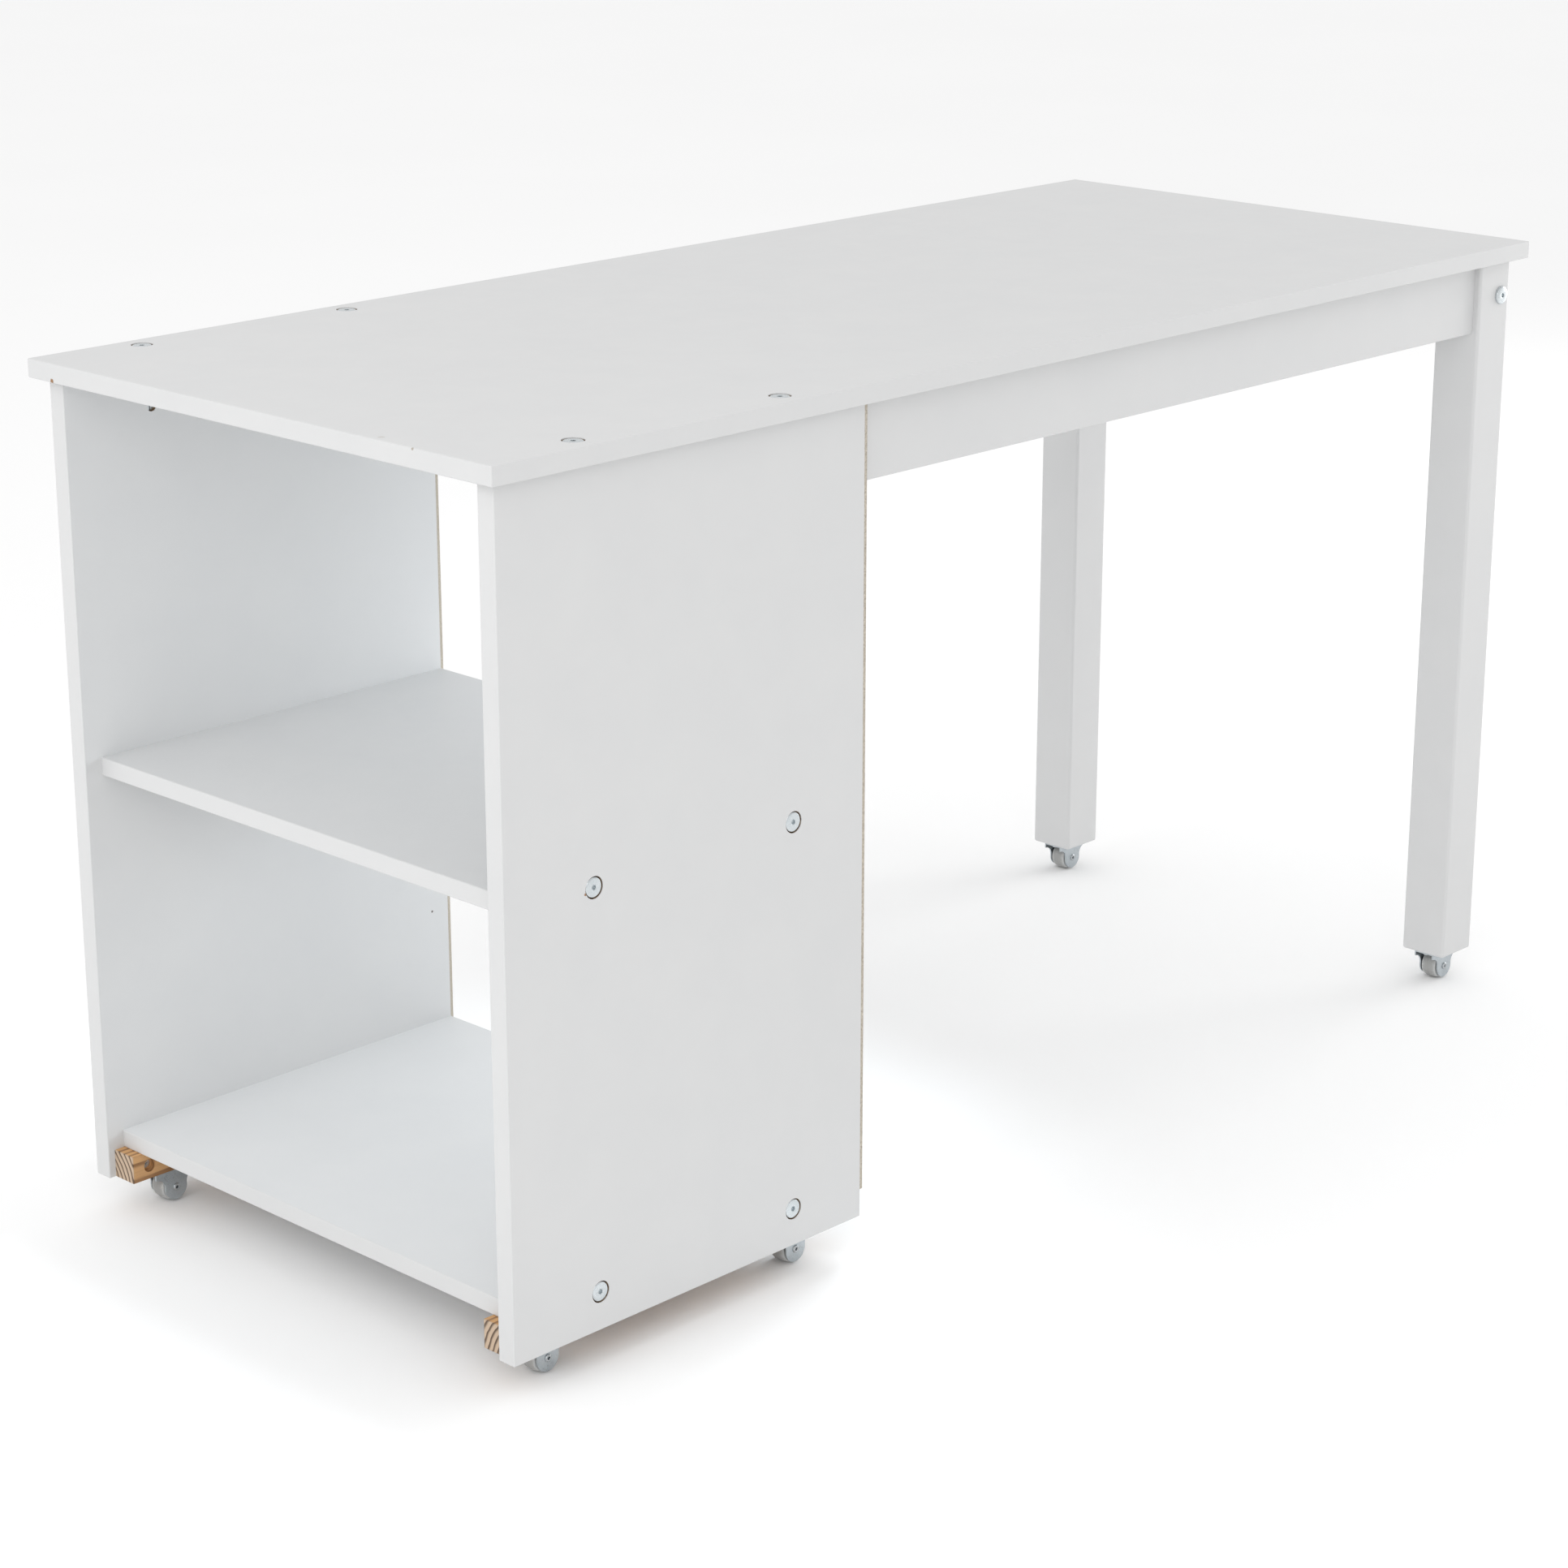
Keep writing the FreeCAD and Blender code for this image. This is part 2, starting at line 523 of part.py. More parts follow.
# --- casters --------------------------------------------------------------------------------------------
def fork_outline():
    """The cheek seen along the axle: winged at the top, drawn in by hollow arcs to a lobe round the axle."""
    half, top, wing = FORK_L / 2, CASTER_H, CASTER_H - FORK_WING_H
    rise = wing - WHEEL_R
    hollow = (half**2 + rise**2 - FORK_LOBE_R**2) / (2 * (FORK_LOBE_R + rise))
    middle = V(half, 0, wing - hollow)
    lobe = V(0, 0, WHEEL_R)
    touch = lobe + (middle - lobe).normalize() * FORK_LOBE_R
    touch_way = math.atan2(touch.z - middle.z, touch.x - middle.x) % (2 * math.pi)
    bend_way = (math.pi / 2 + touch_way) / 2
    bend = middle + V(hollow * math.cos(bend_way), 0, hollow * math.sin(bend_way))
    mirror = lambda p: V(-p.x, 0, p.z)
    wing_end = V(half, 0, wing)
    edges = [
        Part.LineSegment(V(-half, 0, top), V(half, 0, top)),
        Part.LineSegment(V(half, 0, top), wing_end),
        Part.Arc(wing_end, bend, touch),
        Part.Arc(touch, lobe - Z * FORK_LOBE_R, mirror(touch)),
        Part.Arc(mirror(touch), mirror(bend), mirror(wing_end)),
        Part.LineSegment(mirror(wing_end), V(-half, 0, top)),
    ]
    return Part.Face(Part.Wire([e.toShape() for e in edges]))


def caster_fork():
    """A stamped U: a plate under the rail or leg, and a cheek down each side of the wheel."""
    half = FORK_W / 2
    plate = block((-FORK_L / 2, FORK_L / 2), (-half, half), (CASTER_H - FORK_T, CASTER_H))
    cheek = fork_outline().extrude(Y * FORK_T)
    cheeks = []
    for y in (-half, half - FORK_T):
        one = cheek.copy()
        one.translate(Y * y)
        cheeks.append(one)
    fork = plate.fuse(cheeks).removeSplitter()
    fork = rounded(fork, FORK_BEND, lambda c: c.z > CASTER_H - NEAR_ZERO and abs(abs(c.y) - half) < NEAR_ZERO)
    tools = [rod(AXLE_R, V(0, -FORK_W, WHEEL_R), Y, 2 * FORK_W)]
    tools += [rod(SMALL_SCREW_R, p, -out, FORK_T) for p, out in caster_screw_seats((0, 0))]
    return without(fork, tools)


def caster_axle():
    """A rivet through both cheeks, with a rolled head outside each."""
    half = FORK_W / 2
    end = half + RIVET_H
    pin = turned_profile([
        (0, -end + RIVET_H / 2), (RIVET_DIMPLE_R, -end), (RIVET_R * 0.7, -end), (RIVET_R, -half),
        (AXLE_R, -half), (AXLE_R, half), (RIVET_R, half), (RIVET_R * 0.7, end), (RIVET_DIMPLE_R, end),
        (0, end - RIVET_H / 2),
    ])
    return placed(pin, V(0, 0, WHEEL_R), Y)


def caster_wheel():
    """A crowned plastic roller with a plain bore, and a hub that keeps it in the middle of the fork."""
    half, flat = WHEEL_W / 2, WHEEL_FLAT / 2
    run = half - flat
    crown = (run**2 + WHEEL_SHOULDER**2) / (2 * WHEEL_SHOULDER)
    way = math.asin(run / crown) / 2
    bore, rim = AXLE_R + AXLE_GAP, WHEEL_R - WHEEL_SHOULDER
    on_crown = V(WHEEL_R - crown + crown * math.cos(way), 0, flat + crown * math.sin(way))
    mirror = lambda p: V(p.x, 0, -p.z)
    corner, shoulder = V(rim, 0, half), V(WHEEL_R, 0, flat)
    edges = [
        Part.LineSegment(V(bore, 0, -half), V(bore, 0, half)),
        Part.LineSegment(V(bore, 0, half), corner),
        Part.Arc(corner, on_crown, shoulder),
        Part.LineSegment(shoulder, mirror(shoulder)),
        Part.Arc(mirror(shoulder), mirror(on_crown), mirror(corner)),
        Part.LineSegment(mirror(corner), V(bore, 0, -half)),
    ]
    roller = Part.Face(Part.Wire([e.toShape() for e in edges])).revolve(V(), Z, 360)
    hub_half = FORK_W / 2 - FORK_T - HUB_GAP
    hub = rod(HUB_R, V(0, 0, -hub_half), Z, 2 * hub_half).cut(rod(bore, V(0, 0, -FORK_W), Z, 2 * FORK_W))
    roller = roller.fuse(hub).removeSplitter().Solids[0]
    return placed(roller, V(0, 0, WHEEL_R), Y)


def moved(solid, place):
    piece = solid.copy()
    piece.translate(V(place[0], place[1], 0))
    return piece


# --- every node -----------------------------------------------------------------------------------------
def fastener_groups():
    """Node name to the separate solids in it."""
    at_seats = lambda tool, seats: [placed(tool, p, out) for p, out in seats]
    sunk = lambda seats, sink: [(p - out * sink, out) for p, out in seats]
    bolts_top, bolts_shelf = bolt(top_bolt_length()), bolt(shelf_bolt_length())
    bolts_leg = bolt(leg_bolt_length())
    nut, screw, pin = barrel_nut(), small_screw(), nail()
    peg, slim_peg = dowel(DOWEL_R, DOWEL_L), dowel(SLIM_DOWEL_R, SLIM_DOWEL_L)
    nuts_at = lambda nuts: [placed(nut, p, out, across) for p, out, across in nuts]
    rail_seats = [
        (V(x, side * (RAIL_IN + RAIL_SCREW_BORE_DEEP), RAIL_MID_Z), Y * -side)
        for side in SIDES.values() for x in RAIL_SCREW_XS
    ]
    dowels = [d for z in SHELF_TOPS for d in shelf_dowels(z)]
    dowels += [d for side in SIDES.values() for d in end_apron_dowels(side) + long_apron_dowels(side)]
    dowels += [top_dowel(side) for side in SIDES.values()]
    slim = [d for side in SIDES.values() for d in slim_dowels(side)]
    nails = [seat for side in SIDES.values() for seat in nail_seats(side)]
    brackets = bracket_places()
    return {
        "top_bolts": at_seats(bolts_top, sunk(top_bolt_seats(), BOLT_SINK)),
        "shelf_bolts": at_seats(
            bolts_shelf, sunk([s for side in SIDES.values() for s in shelf_bolt_seats(side)], BOLT_SINK)
        ),
        "leg_bolts": at_seats(
            bolts_leg, sunk([s for side in SIDES.values() for s in leg_bolt_seats(side)], LEG_BOLT_SINK)
        ),
        "panel_barrel_nuts": nuts_at([n for side in SIDES.values() for n in panel_nuts(side)]),
        "shelf_barrel_nuts": nuts_at([n for z in SHELF_TOPS for n in shelf_nuts(z)]),
        "apron_barrel_nuts": nuts_at(end_apron_nuts() + [long_apron_nut(side) for side in SIDES.values()]),
        "board_dowels": [placed(peg, start, way) for start, way in dowels],
        "slim_dowels": [placed(slim_peg, start, way) for start, way in slim],
        "rail_screws": at_seats(rail_screw(), rail_seats),
        "strip_nails": [placed(pin, seat, X) for seat in nails],
        "corner_brackets": [corner_bracket(corner, away) for corner, away in brackets],
        "bracket_screws": [
            placed(screw, p, out) for corner, away in brackets for p, out in bracket_screw_seats(corner, away)
        ],
        "caster_screws": [
            placed(screw, p, out) for place in CASTERS.values() for p, out in caster_screw_seats(place)
        ],
    }


def main():
    os.makedirs("parts", exist_ok=True)
    save("table_top", [table_top()])
    for name, side in SIDES.items():
        save(f"{name}_side_panel", [side_panel(side)])
        save(f"{name}_caster_rail", [caster_rail(side)])
        save(f"{name}_leg", [leg(side)])
        save(f"{name}_apron", [long_apron(side)])
        save(f"{name}_edge_strip", [edge_strip(side)])
    save("end_apron", [end_apron()])
    save("middle_shelf", [shelf(MIDDLE_SHELF_Z)])
    save("bottom_shelf", [shelf(BOTTOM_SHELF_Z)])
    for name, solids in fastener_groups().items():
        save(name, solids)
    fork, axle, wheel = caster_fork(), caster_axle(), caster_wheel()
    for name, place in CASTERS.items():
        save(f"{name}_caster_fork", [moved(fork, place)])
        save(f"{name}_caster_axle", [moved(axle, place)])
        save(f"{name}_caster_wheel", [moved(wheel, place)])


main()
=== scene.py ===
# %% [markdown]
# A rolling sewing table, dressed
#
# The table is a flat white top over an open cabinet at one end and two legs at the other, on six small
# casters. The CAD frame already holds every board at its true size, so this lesson doesn't reshape the
# boards. It gives them their finish, and it makes the small turned pieces again with what CAD leaves
# plain: threads, flutes, rolled rims.

# %% Open the frame
import json
import math

import bmesh
import bpy
import numpy as np
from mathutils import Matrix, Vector


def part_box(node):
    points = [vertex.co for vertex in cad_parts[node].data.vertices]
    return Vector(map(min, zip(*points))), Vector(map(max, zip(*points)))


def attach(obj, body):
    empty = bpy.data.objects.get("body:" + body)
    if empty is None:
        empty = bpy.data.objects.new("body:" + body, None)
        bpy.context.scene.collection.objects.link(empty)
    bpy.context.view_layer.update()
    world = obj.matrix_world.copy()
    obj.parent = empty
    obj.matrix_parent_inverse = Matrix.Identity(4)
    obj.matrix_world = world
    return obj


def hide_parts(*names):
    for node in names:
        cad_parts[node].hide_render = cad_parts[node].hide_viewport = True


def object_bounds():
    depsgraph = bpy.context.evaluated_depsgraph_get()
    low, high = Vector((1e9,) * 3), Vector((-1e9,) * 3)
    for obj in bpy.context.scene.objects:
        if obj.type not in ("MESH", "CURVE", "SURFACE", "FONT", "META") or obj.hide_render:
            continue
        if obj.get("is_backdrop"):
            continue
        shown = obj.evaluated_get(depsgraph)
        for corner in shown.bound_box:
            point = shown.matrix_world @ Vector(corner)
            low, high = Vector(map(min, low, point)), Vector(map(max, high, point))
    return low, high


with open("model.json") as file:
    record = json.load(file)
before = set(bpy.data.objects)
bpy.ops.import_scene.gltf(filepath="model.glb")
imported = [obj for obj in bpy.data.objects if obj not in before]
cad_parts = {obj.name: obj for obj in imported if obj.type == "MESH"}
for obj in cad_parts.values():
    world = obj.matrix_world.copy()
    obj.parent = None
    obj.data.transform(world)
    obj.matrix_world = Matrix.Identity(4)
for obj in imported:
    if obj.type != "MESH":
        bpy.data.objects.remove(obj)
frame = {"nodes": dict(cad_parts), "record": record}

CAD_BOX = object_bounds()
NODES = frame["nodes"]
MM = 0.001

# %% [markdown]
# Finding the pieces' places
#
# A group of bolts is one CAD node that holds several separate solids. To stand a better bolt on each
# seat, the lesson has to know where each solid lies. It could be typed in from the drawing, but then it
# would be wrong as soon as the table changed. So it is measured: the node's triangles are joined, split
# into islands, and each island says which way it is long and at which end it is wide. The wide end is the
# head.

# %% Split a node into its solids
def separate_solids(node):
    """The corner points of each separate solid in a CAD node."""
    work = bmesh.new()
    work.from_mesh(NODES[node].data)
    bmesh.ops.remove_doubles(work, verts=work.verts, dist=1e-7)
    left, solids = set(work.verts), []
    while left:
        waiting, points = [left.pop()], []
        while waiting:
            corner = waiting.pop()
            points.append(tuple(corner.co))
            for edge in corner.link_edges:
                other = edge.other_vert(corner)
                if other in left:
                    left.discard(other)
                    waiting.append(other)
        solids.append(np.array(points))
    work.free()
    return sorted(solids, key=lambda p: tuple(p.mean(0).round(5)))


def seat_of(points):
    """Where a turned solid's widest end is, and the way that end faces."""
    low, high = points.min(0), points.max(0)
    along = int(np.argmax(high - low))
    middle = (low + high) / 2
    reach = np.linalg.norm(np.delete(points - middle, along, axis=1), axis=1)
    wide = points[reach > 0.9 * reach.max()][:, along].mean()
    outward, seat = Vector((0, 0, 0)), Vector(middle)
    outward[along] = 1.0 if wide >= middle[along] else -1.0
    seat[along] = high[along] if outward[along] > 0 else low[along]
    return seat, outward


def seats_of(node):
    return [seat_of(points) for points in separate_solids(node)]


for group in ("top_bolts", "shelf_bolts", "leg_bolts", "board_dowels", "caster_screws"):
    print(group, len(seats_of(group)))

# %% [markdown]
# Wiring nodes as sums
#
# Both the shaders and the shapes below are node trees. Wiring each one by hand takes a page of links, so
# a small class stands for one socket, and ordinary arithmetic on it adds the Math nodes. Every other node
# comes from one method, which sets the node's own settings first and then its sockets.

# %% A socket that can be added up
class Wire:
    """One output socket. Arithmetic on it adds Math nodes to its tree."""

    def __init__(self, bench, socket):
        self.bench, self.socket = bench, socket

    def __add__(self, other):
        return self.bench.sum("ADD", self, other)

    def __sub__(self, other):
        return self.bench.sum("SUBTRACT", self, other)

    def __rsub__(self, other):
        return self.bench.sum("SUBTRACT", other, self)

    def __mul__(self, other):
        return self.bench.sum("MULTIPLY", self, other)

    def __truediv__(self, other):
        return self.bench.sum("DIVIDE", self, other)

    def __rtruediv__(self, other):
        return self.bench.sum("DIVIDE", other, self)

    __radd__, __rmul__ = __add__, __mul__


class Made:
    """A node that has been added. Its outputs come out by name or by number."""

    def __init__(self, bench, node):
        self.bench, self.node = bench, node

    def __getitem__(self, output):
        return Wire(self.bench, self.node.outputs[output])


class Bench:
    """A node tree that is being wired."""

    def __init__(self, tree):
        self.tree = tree
        tree.nodes.clear()

    def fit(self, socket, value):
        if isinstance(value, Wire):
            self.tree.links.new(value.socket, socket)
        else:
            socket.default_value = value

    def add(self, kind, settings=None, values=None):
        node = self.tree.nodes.new(kind)
        for name, setting in (settings or {}).items():
            if name == "stops":
                self.set_stops(node.color_ramp, setting)
            elif name == "choices":
                for _ in range(setting - len(node.index_switch_items)):
                    node.index_switch_items.new()
            else:
                setattr(node, name, setting)
        for name, value in (values or {}).items():
            self.fit(node.inputs[name], value)
        return Made(self, node)

    def set_stops(self, ramp, stops):
        while len(ramp.elements) < len(stops):
            ramp.elements.new(1.0)
        for element, (place, colour) in zip(ramp.elements, stops):
            element.position, element.color = place, (*colour, 1.0)

    def sum(self, operation, *values):
        return self.add("ShaderNodeMath", {"operation": operation}, dict(enumerate(values)))[0]


print("bench ready")

# %% [markdown]
# What changes on the way round
#
# Most turned pieces are round, but a bolt's socket, a screw's recess and a dowel aren't. Each of these is
# a circle whose radius changes with the angle. A hexagon's wall is nearest the axis in the middle of a
# flat and farthest at a corner. A cross for a screwdriver is two bars, and the farther bar wins at each
# angle. Flutes are a wave. Each is a short sum on the angle, kept here by name for the lathe in the next
# step.

# %% Hexagon, cross and flutes
def hexagon_way(bench, angle):
    within = (bench.sum("FRACT", angle * (6 / math.tau)) - 0.5) * (math.tau / 6)
    return 1.0 / bench.sum("COSINE", within)


def cross_way(bench, angle):
    side = bench.sum("ABSOLUTE", bench.sum("COSINE", angle)) + 1e-4
    up = bench.sum("ABSOLUTE", bench.sum("SINE", angle)) + 1e-4
    thin = 0.25
    flat_bar = bench.sum("MINIMUM", 1.0 / side, thin / up)
    tall_bar = bench.sum("MINIMUM", 1.0 / up, thin / side)
    return bench.sum("MAXIMUM", flat_bar, tall_bar)


def flutes_way(bench, angle):
    return 1.0 - (bench.sum("COSINE", angle * 12) * 0.5 + 0.5) * 0.07


WAYS_ROUND = {"hexagon": hexagon_way, "cross": cross_way, "flutes": flutes_way}
print("ways round:", sorted(WAYS_ROUND))

# %% [markdown]
# Turning on a lathe
#
# Bolts, screws, dowels, rivets and wheels are all turned shapes: an outline of a radius and a height,
# swept round an axis. A Screw modifier could do it, but it can't cut a hexagonal socket. Here a flat grid
# is bent instead. One way across the grid counts the outline's points, and the other way goes round the
# axis. A point's radius may be multiplied by a shape that changes on the way round, and that gives a
# hexagon, a cross or a dowel's flutes.

# %% The lathe
def around_grid(bench, rows, sides):
    """A grid, the number of each point's row, and its angle round the axis."""
    grid = bench.add("GeometryNodeMeshGrid", None, {
        "Size X": 1.0, "Size Y": 1.0, "Vertices X": rows, "Vertices Y": sides + 1,
    })
    flat = bench.add("ShaderNodeSeparateXYZ", None, {0: bench.add("GeometryNodeInputPosition")[0]})
    row = bench.sum("ROUND", (flat["X"] + 0.5) * (rows - 1))
    return grid["Mesh"], row, (flat["Y"] + 0.5) * math.tau


def bent_round(bench, grid, radius, height, angle):
    """Bends the grid round the axis, closes its seam and notes each point's distance from the axis."""
    spot = bench.add("ShaderNodeCombineXYZ", None, {
        "X": radius * bench.sum("COSINE", angle), "Y": radius * bench.sum("SINE", angle), "Z": height,
    })[0]
    noted = bench.add("GeometryNodeStoreNamedAttribute", {"data_type": "FLOAT", "domain": "POINT"}, {
        "Geometry": grid, "Name": "reach", "Value": radius,
    })["Geometry"]
    bent = bench.add("GeometryNodeSetPosition", None, {"Geometry": noted, "Position": spot})["Geometry"]
    return bench.add("GeometryNodeMergeByDistance", None, {"Geometry": bent, "Distance": 1e-6})["Geometry"]


def turned(bench, outline, sides):
    """A turned solid. The outline's points are (radius, height) or (radius, height, shape name)."""
    grid, row, angle = around_grid(bench, len(outline), sides)
    shapes = {}
    radii = {}
    for number, point in enumerate(outline):
        radius = point[0]
        if len(point) > 2:
            if point[2] not in shapes:
                shapes[point[2]] = WAYS_ROUND[point[2]](bench, angle)
            radius = shapes[point[2]] * radius
        radii[str(number)] = radius
    heights = {str(number): point[1] for number, point in enumerate(outline)}
    pick = {"data_type": "FLOAT", "choices": len(outline)}
    radius = bench.add("GeometryNodeIndexSwitch", pick, {"Index": row, **radii})[0]
    height = bench.add("GeometryNodeIndexSwitch", pick, {"Index": row, **heights})[0]
    return bent_round(bench, grid, radius, height, angle)


print("lathe ready")

# %% [markdown]
# Threads
#
# A thread is a ridge that climbs by one pitch in each turn. On the same bent grid, a point's height
# divided by the pitch, plus its share of a turn, says where it is between two crests. The ridge fades out
# at both ends, as a real thread does, and on a wood screw the whole shank narrows to a point.

# %% A threaded shank
def threaded(bench, core, ridge, pitch, start, length, point_length, rows, sides):
    """A closed threaded rod along the axis from start downwards. All sizes may be named inputs."""
    grid, row, angle = around_grid(bench, rows, sides)
    down = bench.sum("MINIMUM", bench.sum("MAXIMUM", (row - 1) / (rows - 3), 0.0), 1.0) * length
    between = bench.sum("FRACT", down / pitch + angle * (1 / math.tau))
    crest = 1.0 - bench.sum("ABSOLUTE", between * 2 - 1.0)
    fade = bench.sum("MINIMUM", down / pitch, 1.0)
    narrowing = bench.sum("MINIMUM", (length - down) / point_length, 1.0) * 0.92 + 0.08
    inner = bench.sum("GREATER_THAN", row, 0.5) * bench.sum("LESS_THAN", row, rows - 1.5)
    radius = (core + crest * ridge * fade) * narrowing * inner
    return bent_round(bench, grid, radius, start - down, angle)


print("thread rule ready")

# %% [markdown]
# One tree for each kind of fastener
#
# The tree takes a cloud of points, one on each seat, and stands the tool on each of them. Its sizes are
# named inputs, so a longer bolt needs no new tree. Each fastener is also turned by its own angle, from a
# fixed seed, because nobody stops sixteen bolts with their sockets in line. Instances are made real and
# given their material last.

# %% Start a tree and stand its tool on the seats
def new_tree(name, sizes):
    """A geometry tree with named inputs, in metres, and the wires that carry them."""
    tree = bpy.data.node_groups.new(name, "GeometryNodeTree")
    bench = Bench(tree)
    tree.interface.new_socket("Geometry", in_out="INPUT", socket_type="NodeSocketGeometry")
    for size, value in sizes.items():
        tree.interface.new_socket(size, in_out="INPUT", socket_type="NodeSocketFloat").default_value = value
    tree.interface.new_socket("Geometry", in_out="OUTPUT", socket_type="NodeSocketGeometry")
    entry = bench.add("NodeGroupInput")
    return bench, entry["Geometry"], {size: entry[size] for size in sizes}


def stand_on_seats(bench, seats, tool, finish, seed):
    """One tool on each point, facing its way, turned by a random angle."""
    vector = {"data_type": "FLOAT_VECTOR"}
    facing = bench.add("GeometryNodeInputNamedAttribute", vector, {"Name": "facing"})[0]
    upright = bench.add("FunctionNodeAlignRotationToVector", {"axis": "Z"}, {"Vector": facing})["Rotation"]
    spin = bench.add("FunctionNodeRandomValue", {"data_type": "FLOAT"}, {2: 0.0, 3: math.tau, 8: seed})[1]
    by = bench.add("ShaderNodeCombineXYZ", None, {"Z": spin})[0]
    own_angle = bench.add("FunctionNodeEulerToRotation", None, {0: by})[0]
    turn = bench.add("FunctionNodeRotateRotation", {"rotation_space": "LOCAL"}, {0: upright, 1: own_angle})[0]
    stood = bench.add("GeometryNodeInstanceOnPoints", None, {
        "Points": seats, "Instance": tool, "Rotation": turn,
    })[0]
    real = bench.add("GeometryNodeRealizeInstances", None, {"Geometry": stood})[0]
    painted = bench.add("GeometryNodeSetMaterial", None, {"Geometry": real, "Material": finish})[0]
    bench.add("NodeGroupOutput", None, {0: painted})


def joined(bench, *parts):
    join = bench.add("GeometryNodeJoinGeometry")
    for part in parts:
        bench.tree.links.new(part.socket, join.node.inputs[0])
    return join[0]


print("trees can be started")

# %% [markdown]
# From tree to plain mesh
#
# A modifier is live: it is worked out again at each look. The frame needs plain meshes, so each tree is
# evaluated once, the result is copied, and the points with their modifier are thrown away. Faces meet at
# true corners on a bolt, so edges sharper than 35 degrees stay sharp and the rest are smooth.

# %% Evaluate, tidy and set down
def plain_piece(name, bench, seats, sizes=None):
    """Evaluates the tree on the seats and returns the finished object."""
    cloud = bpy.data.meshes.new(name)
    cloud.from_pydata([tuple(seat) for seat, _ in seats], [], [])
    facing = cloud.attributes.new("facing", "FLOAT_VECTOR", "POINT")
    for number, (_, outward) in enumerate(seats):
        facing.data[number].vector = outward
    holder = bpy.data.objects.new(name + "_seats", cloud)
    bpy.context.scene.collection.objects.link(holder)
    shaper = holder.modifiers.new("shape", "NODES")
    shaper.node_group = bench.tree
    for item in bench.tree.interface.items_tree:
        if item.in_out == "INPUT" and item.socket_type == "NodeSocketFloat":
            shaper[item.identifier] = (sizes or {}).get(item.name, item.default_value)
    graph = bpy.context.evaluated_depsgraph_get()
    mesh = bpy.data.meshes.new_from_object(holder.evaluated_get(graph), depsgraph=graph)
    bpy.data.objects.remove(holder)
    close_and_face_out(mesh)
    piece = bpy.data.objects.new(name, mesh)
    bpy.context.scene.collection.objects.link(piece)
    return piece


def close_and_face_out(mesh):
    work = bmesh.new()
    work.from_mesh(mesh)
    bmesh.ops.dissolve_degenerate(work, dist=1e-7, edges=work.edges)
    bmesh.ops.recalc_face_normals(work, faces=work.faces)
    open_edges = sum(1 for edge in work.edges if len(edge.link_faces) != 2)
    work.to_mesh(mesh)
    work.free()
    mesh.shade_smooth()
    mesh.set_sharp_from_angle(angle=math.radians(35))
    print("  ", mesh.name, "faces", len(mesh.polygons), "open edges", open_edges)


def set_down(piece, nodes, body="table"):
    """Puts a finished piece in place of the plain CAD nodes."""
    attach(piece, body)
    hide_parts(*nodes)


print("pieces can be made and set down")

# %% [markdown]
# Words for patterns
#
# The finishes below are all made from a few patterns: clouds, long grain, cells and relief. Each gets a
# short name here. Sizes are real: a cloud of 2 mm has lumps about 2 mm across on the table.

# %% Clouds, grain, cells and relief
def cloud(bench, place, size, detail=3.0):
    return bench.add("ShaderNodeTexNoise", {"noise_dimensions": "3D"}, {
        "Vector": place, "Scale": 1 / size, "Detail": detail, "Roughness": 0.55,
    })["Fac"]


def grain(bench, place, sizes, detail=3.0):
    """A cloud whose lumps have a different length along each axis."""
    scale = tuple(1 / size for size in sizes)
    drawn_out = bench.add("ShaderNodeMapping", None, {"Vector": place, "Scale": scale})[0]
    return cloud(bench, drawn_out, 1.0, detail)


def cells(bench, place, size):
    """A random shade for each cell, such as a zinc crystal or a wood chip."""
    mosaic = bench.add("ShaderNodeTexVoronoi", {"feature": "F1"}, {"Vector": place, "Scale": 1 / size})
    return bench.add("ShaderNodeSeparateColor", None, {"Color": mosaic["Color"]})[0]


def shades(bench, share, stops):
    return bench.add("ShaderNodeValToRGB", {"stops": stops}, {"Fac": share})["Color"]


def tint(bench, share, one, other):
    """One colour where share is 0, the other where it is 1."""
    one = one if isinstance(one, Wire) else (*one, 1.0)
    other = other if isinstance(other, Wire) else (*other, 1.0)
    return bench.add("ShaderNodeMix", {"data_type": "RGBA"}, {0: share, 6: one, 7: other})[2]


def step(bench, value, low, high):
    """0 below low, 1 above high, smooth between."""
    return bench.add("ShaderNodeMapRange", {"interpolation_type": "SMOOTHSTEP"}, {
        "Value": value, "From Min": low, "From Max": high, "To Min": 0.0, "To Max": 1.0,
    })["Result"]


def relief(bench, height, depth, under=None):
    """A bump whose full height is depth, on top of another bump if there is one."""
    values = {"Height": height, "Distance": depth, "Strength": 1.0}
    if under is not None:
        values["Normal"] = under
    return bench.add("ShaderNodeBump", None, values)["Normal"]


def finish(name, shine, pattern):
    """A material: fixed shader values, and a pattern function that gives what changes over the surface."""
    material = bpy.data.materials.new(name)
    material.use_nodes = True
    bench = Bench(material.node_tree)
    surface = bench.add("ShaderNodeBsdfPrincipled", None, shine)
    place = bench.add("ShaderNodeTexCoord")["Object"]
    for socket, value in pattern(bench, place).items():
        bench.fit(surface.node.inputs[socket], value)
    bench.add("ShaderNodeOutputMaterial", None, {"Surface": surface["BSDF"]})
    return material


print("pattern words ready")

# %% [markdown]
# White foil on chipboard
#
# The top, side panels and shelves are chipboard with a satin white foil. The foil isn't quite even: it
# has a very fine peel that softens reflections, and faint clouds of shade. Where a hole is drilled, the
# bare chips show. The hole's walls belong to the same solid as the board's faces, so they can't be given
# a material of their own. Instead the finish works out how deep a spot is inside the board's own box, and
# turns to chips below the skin.

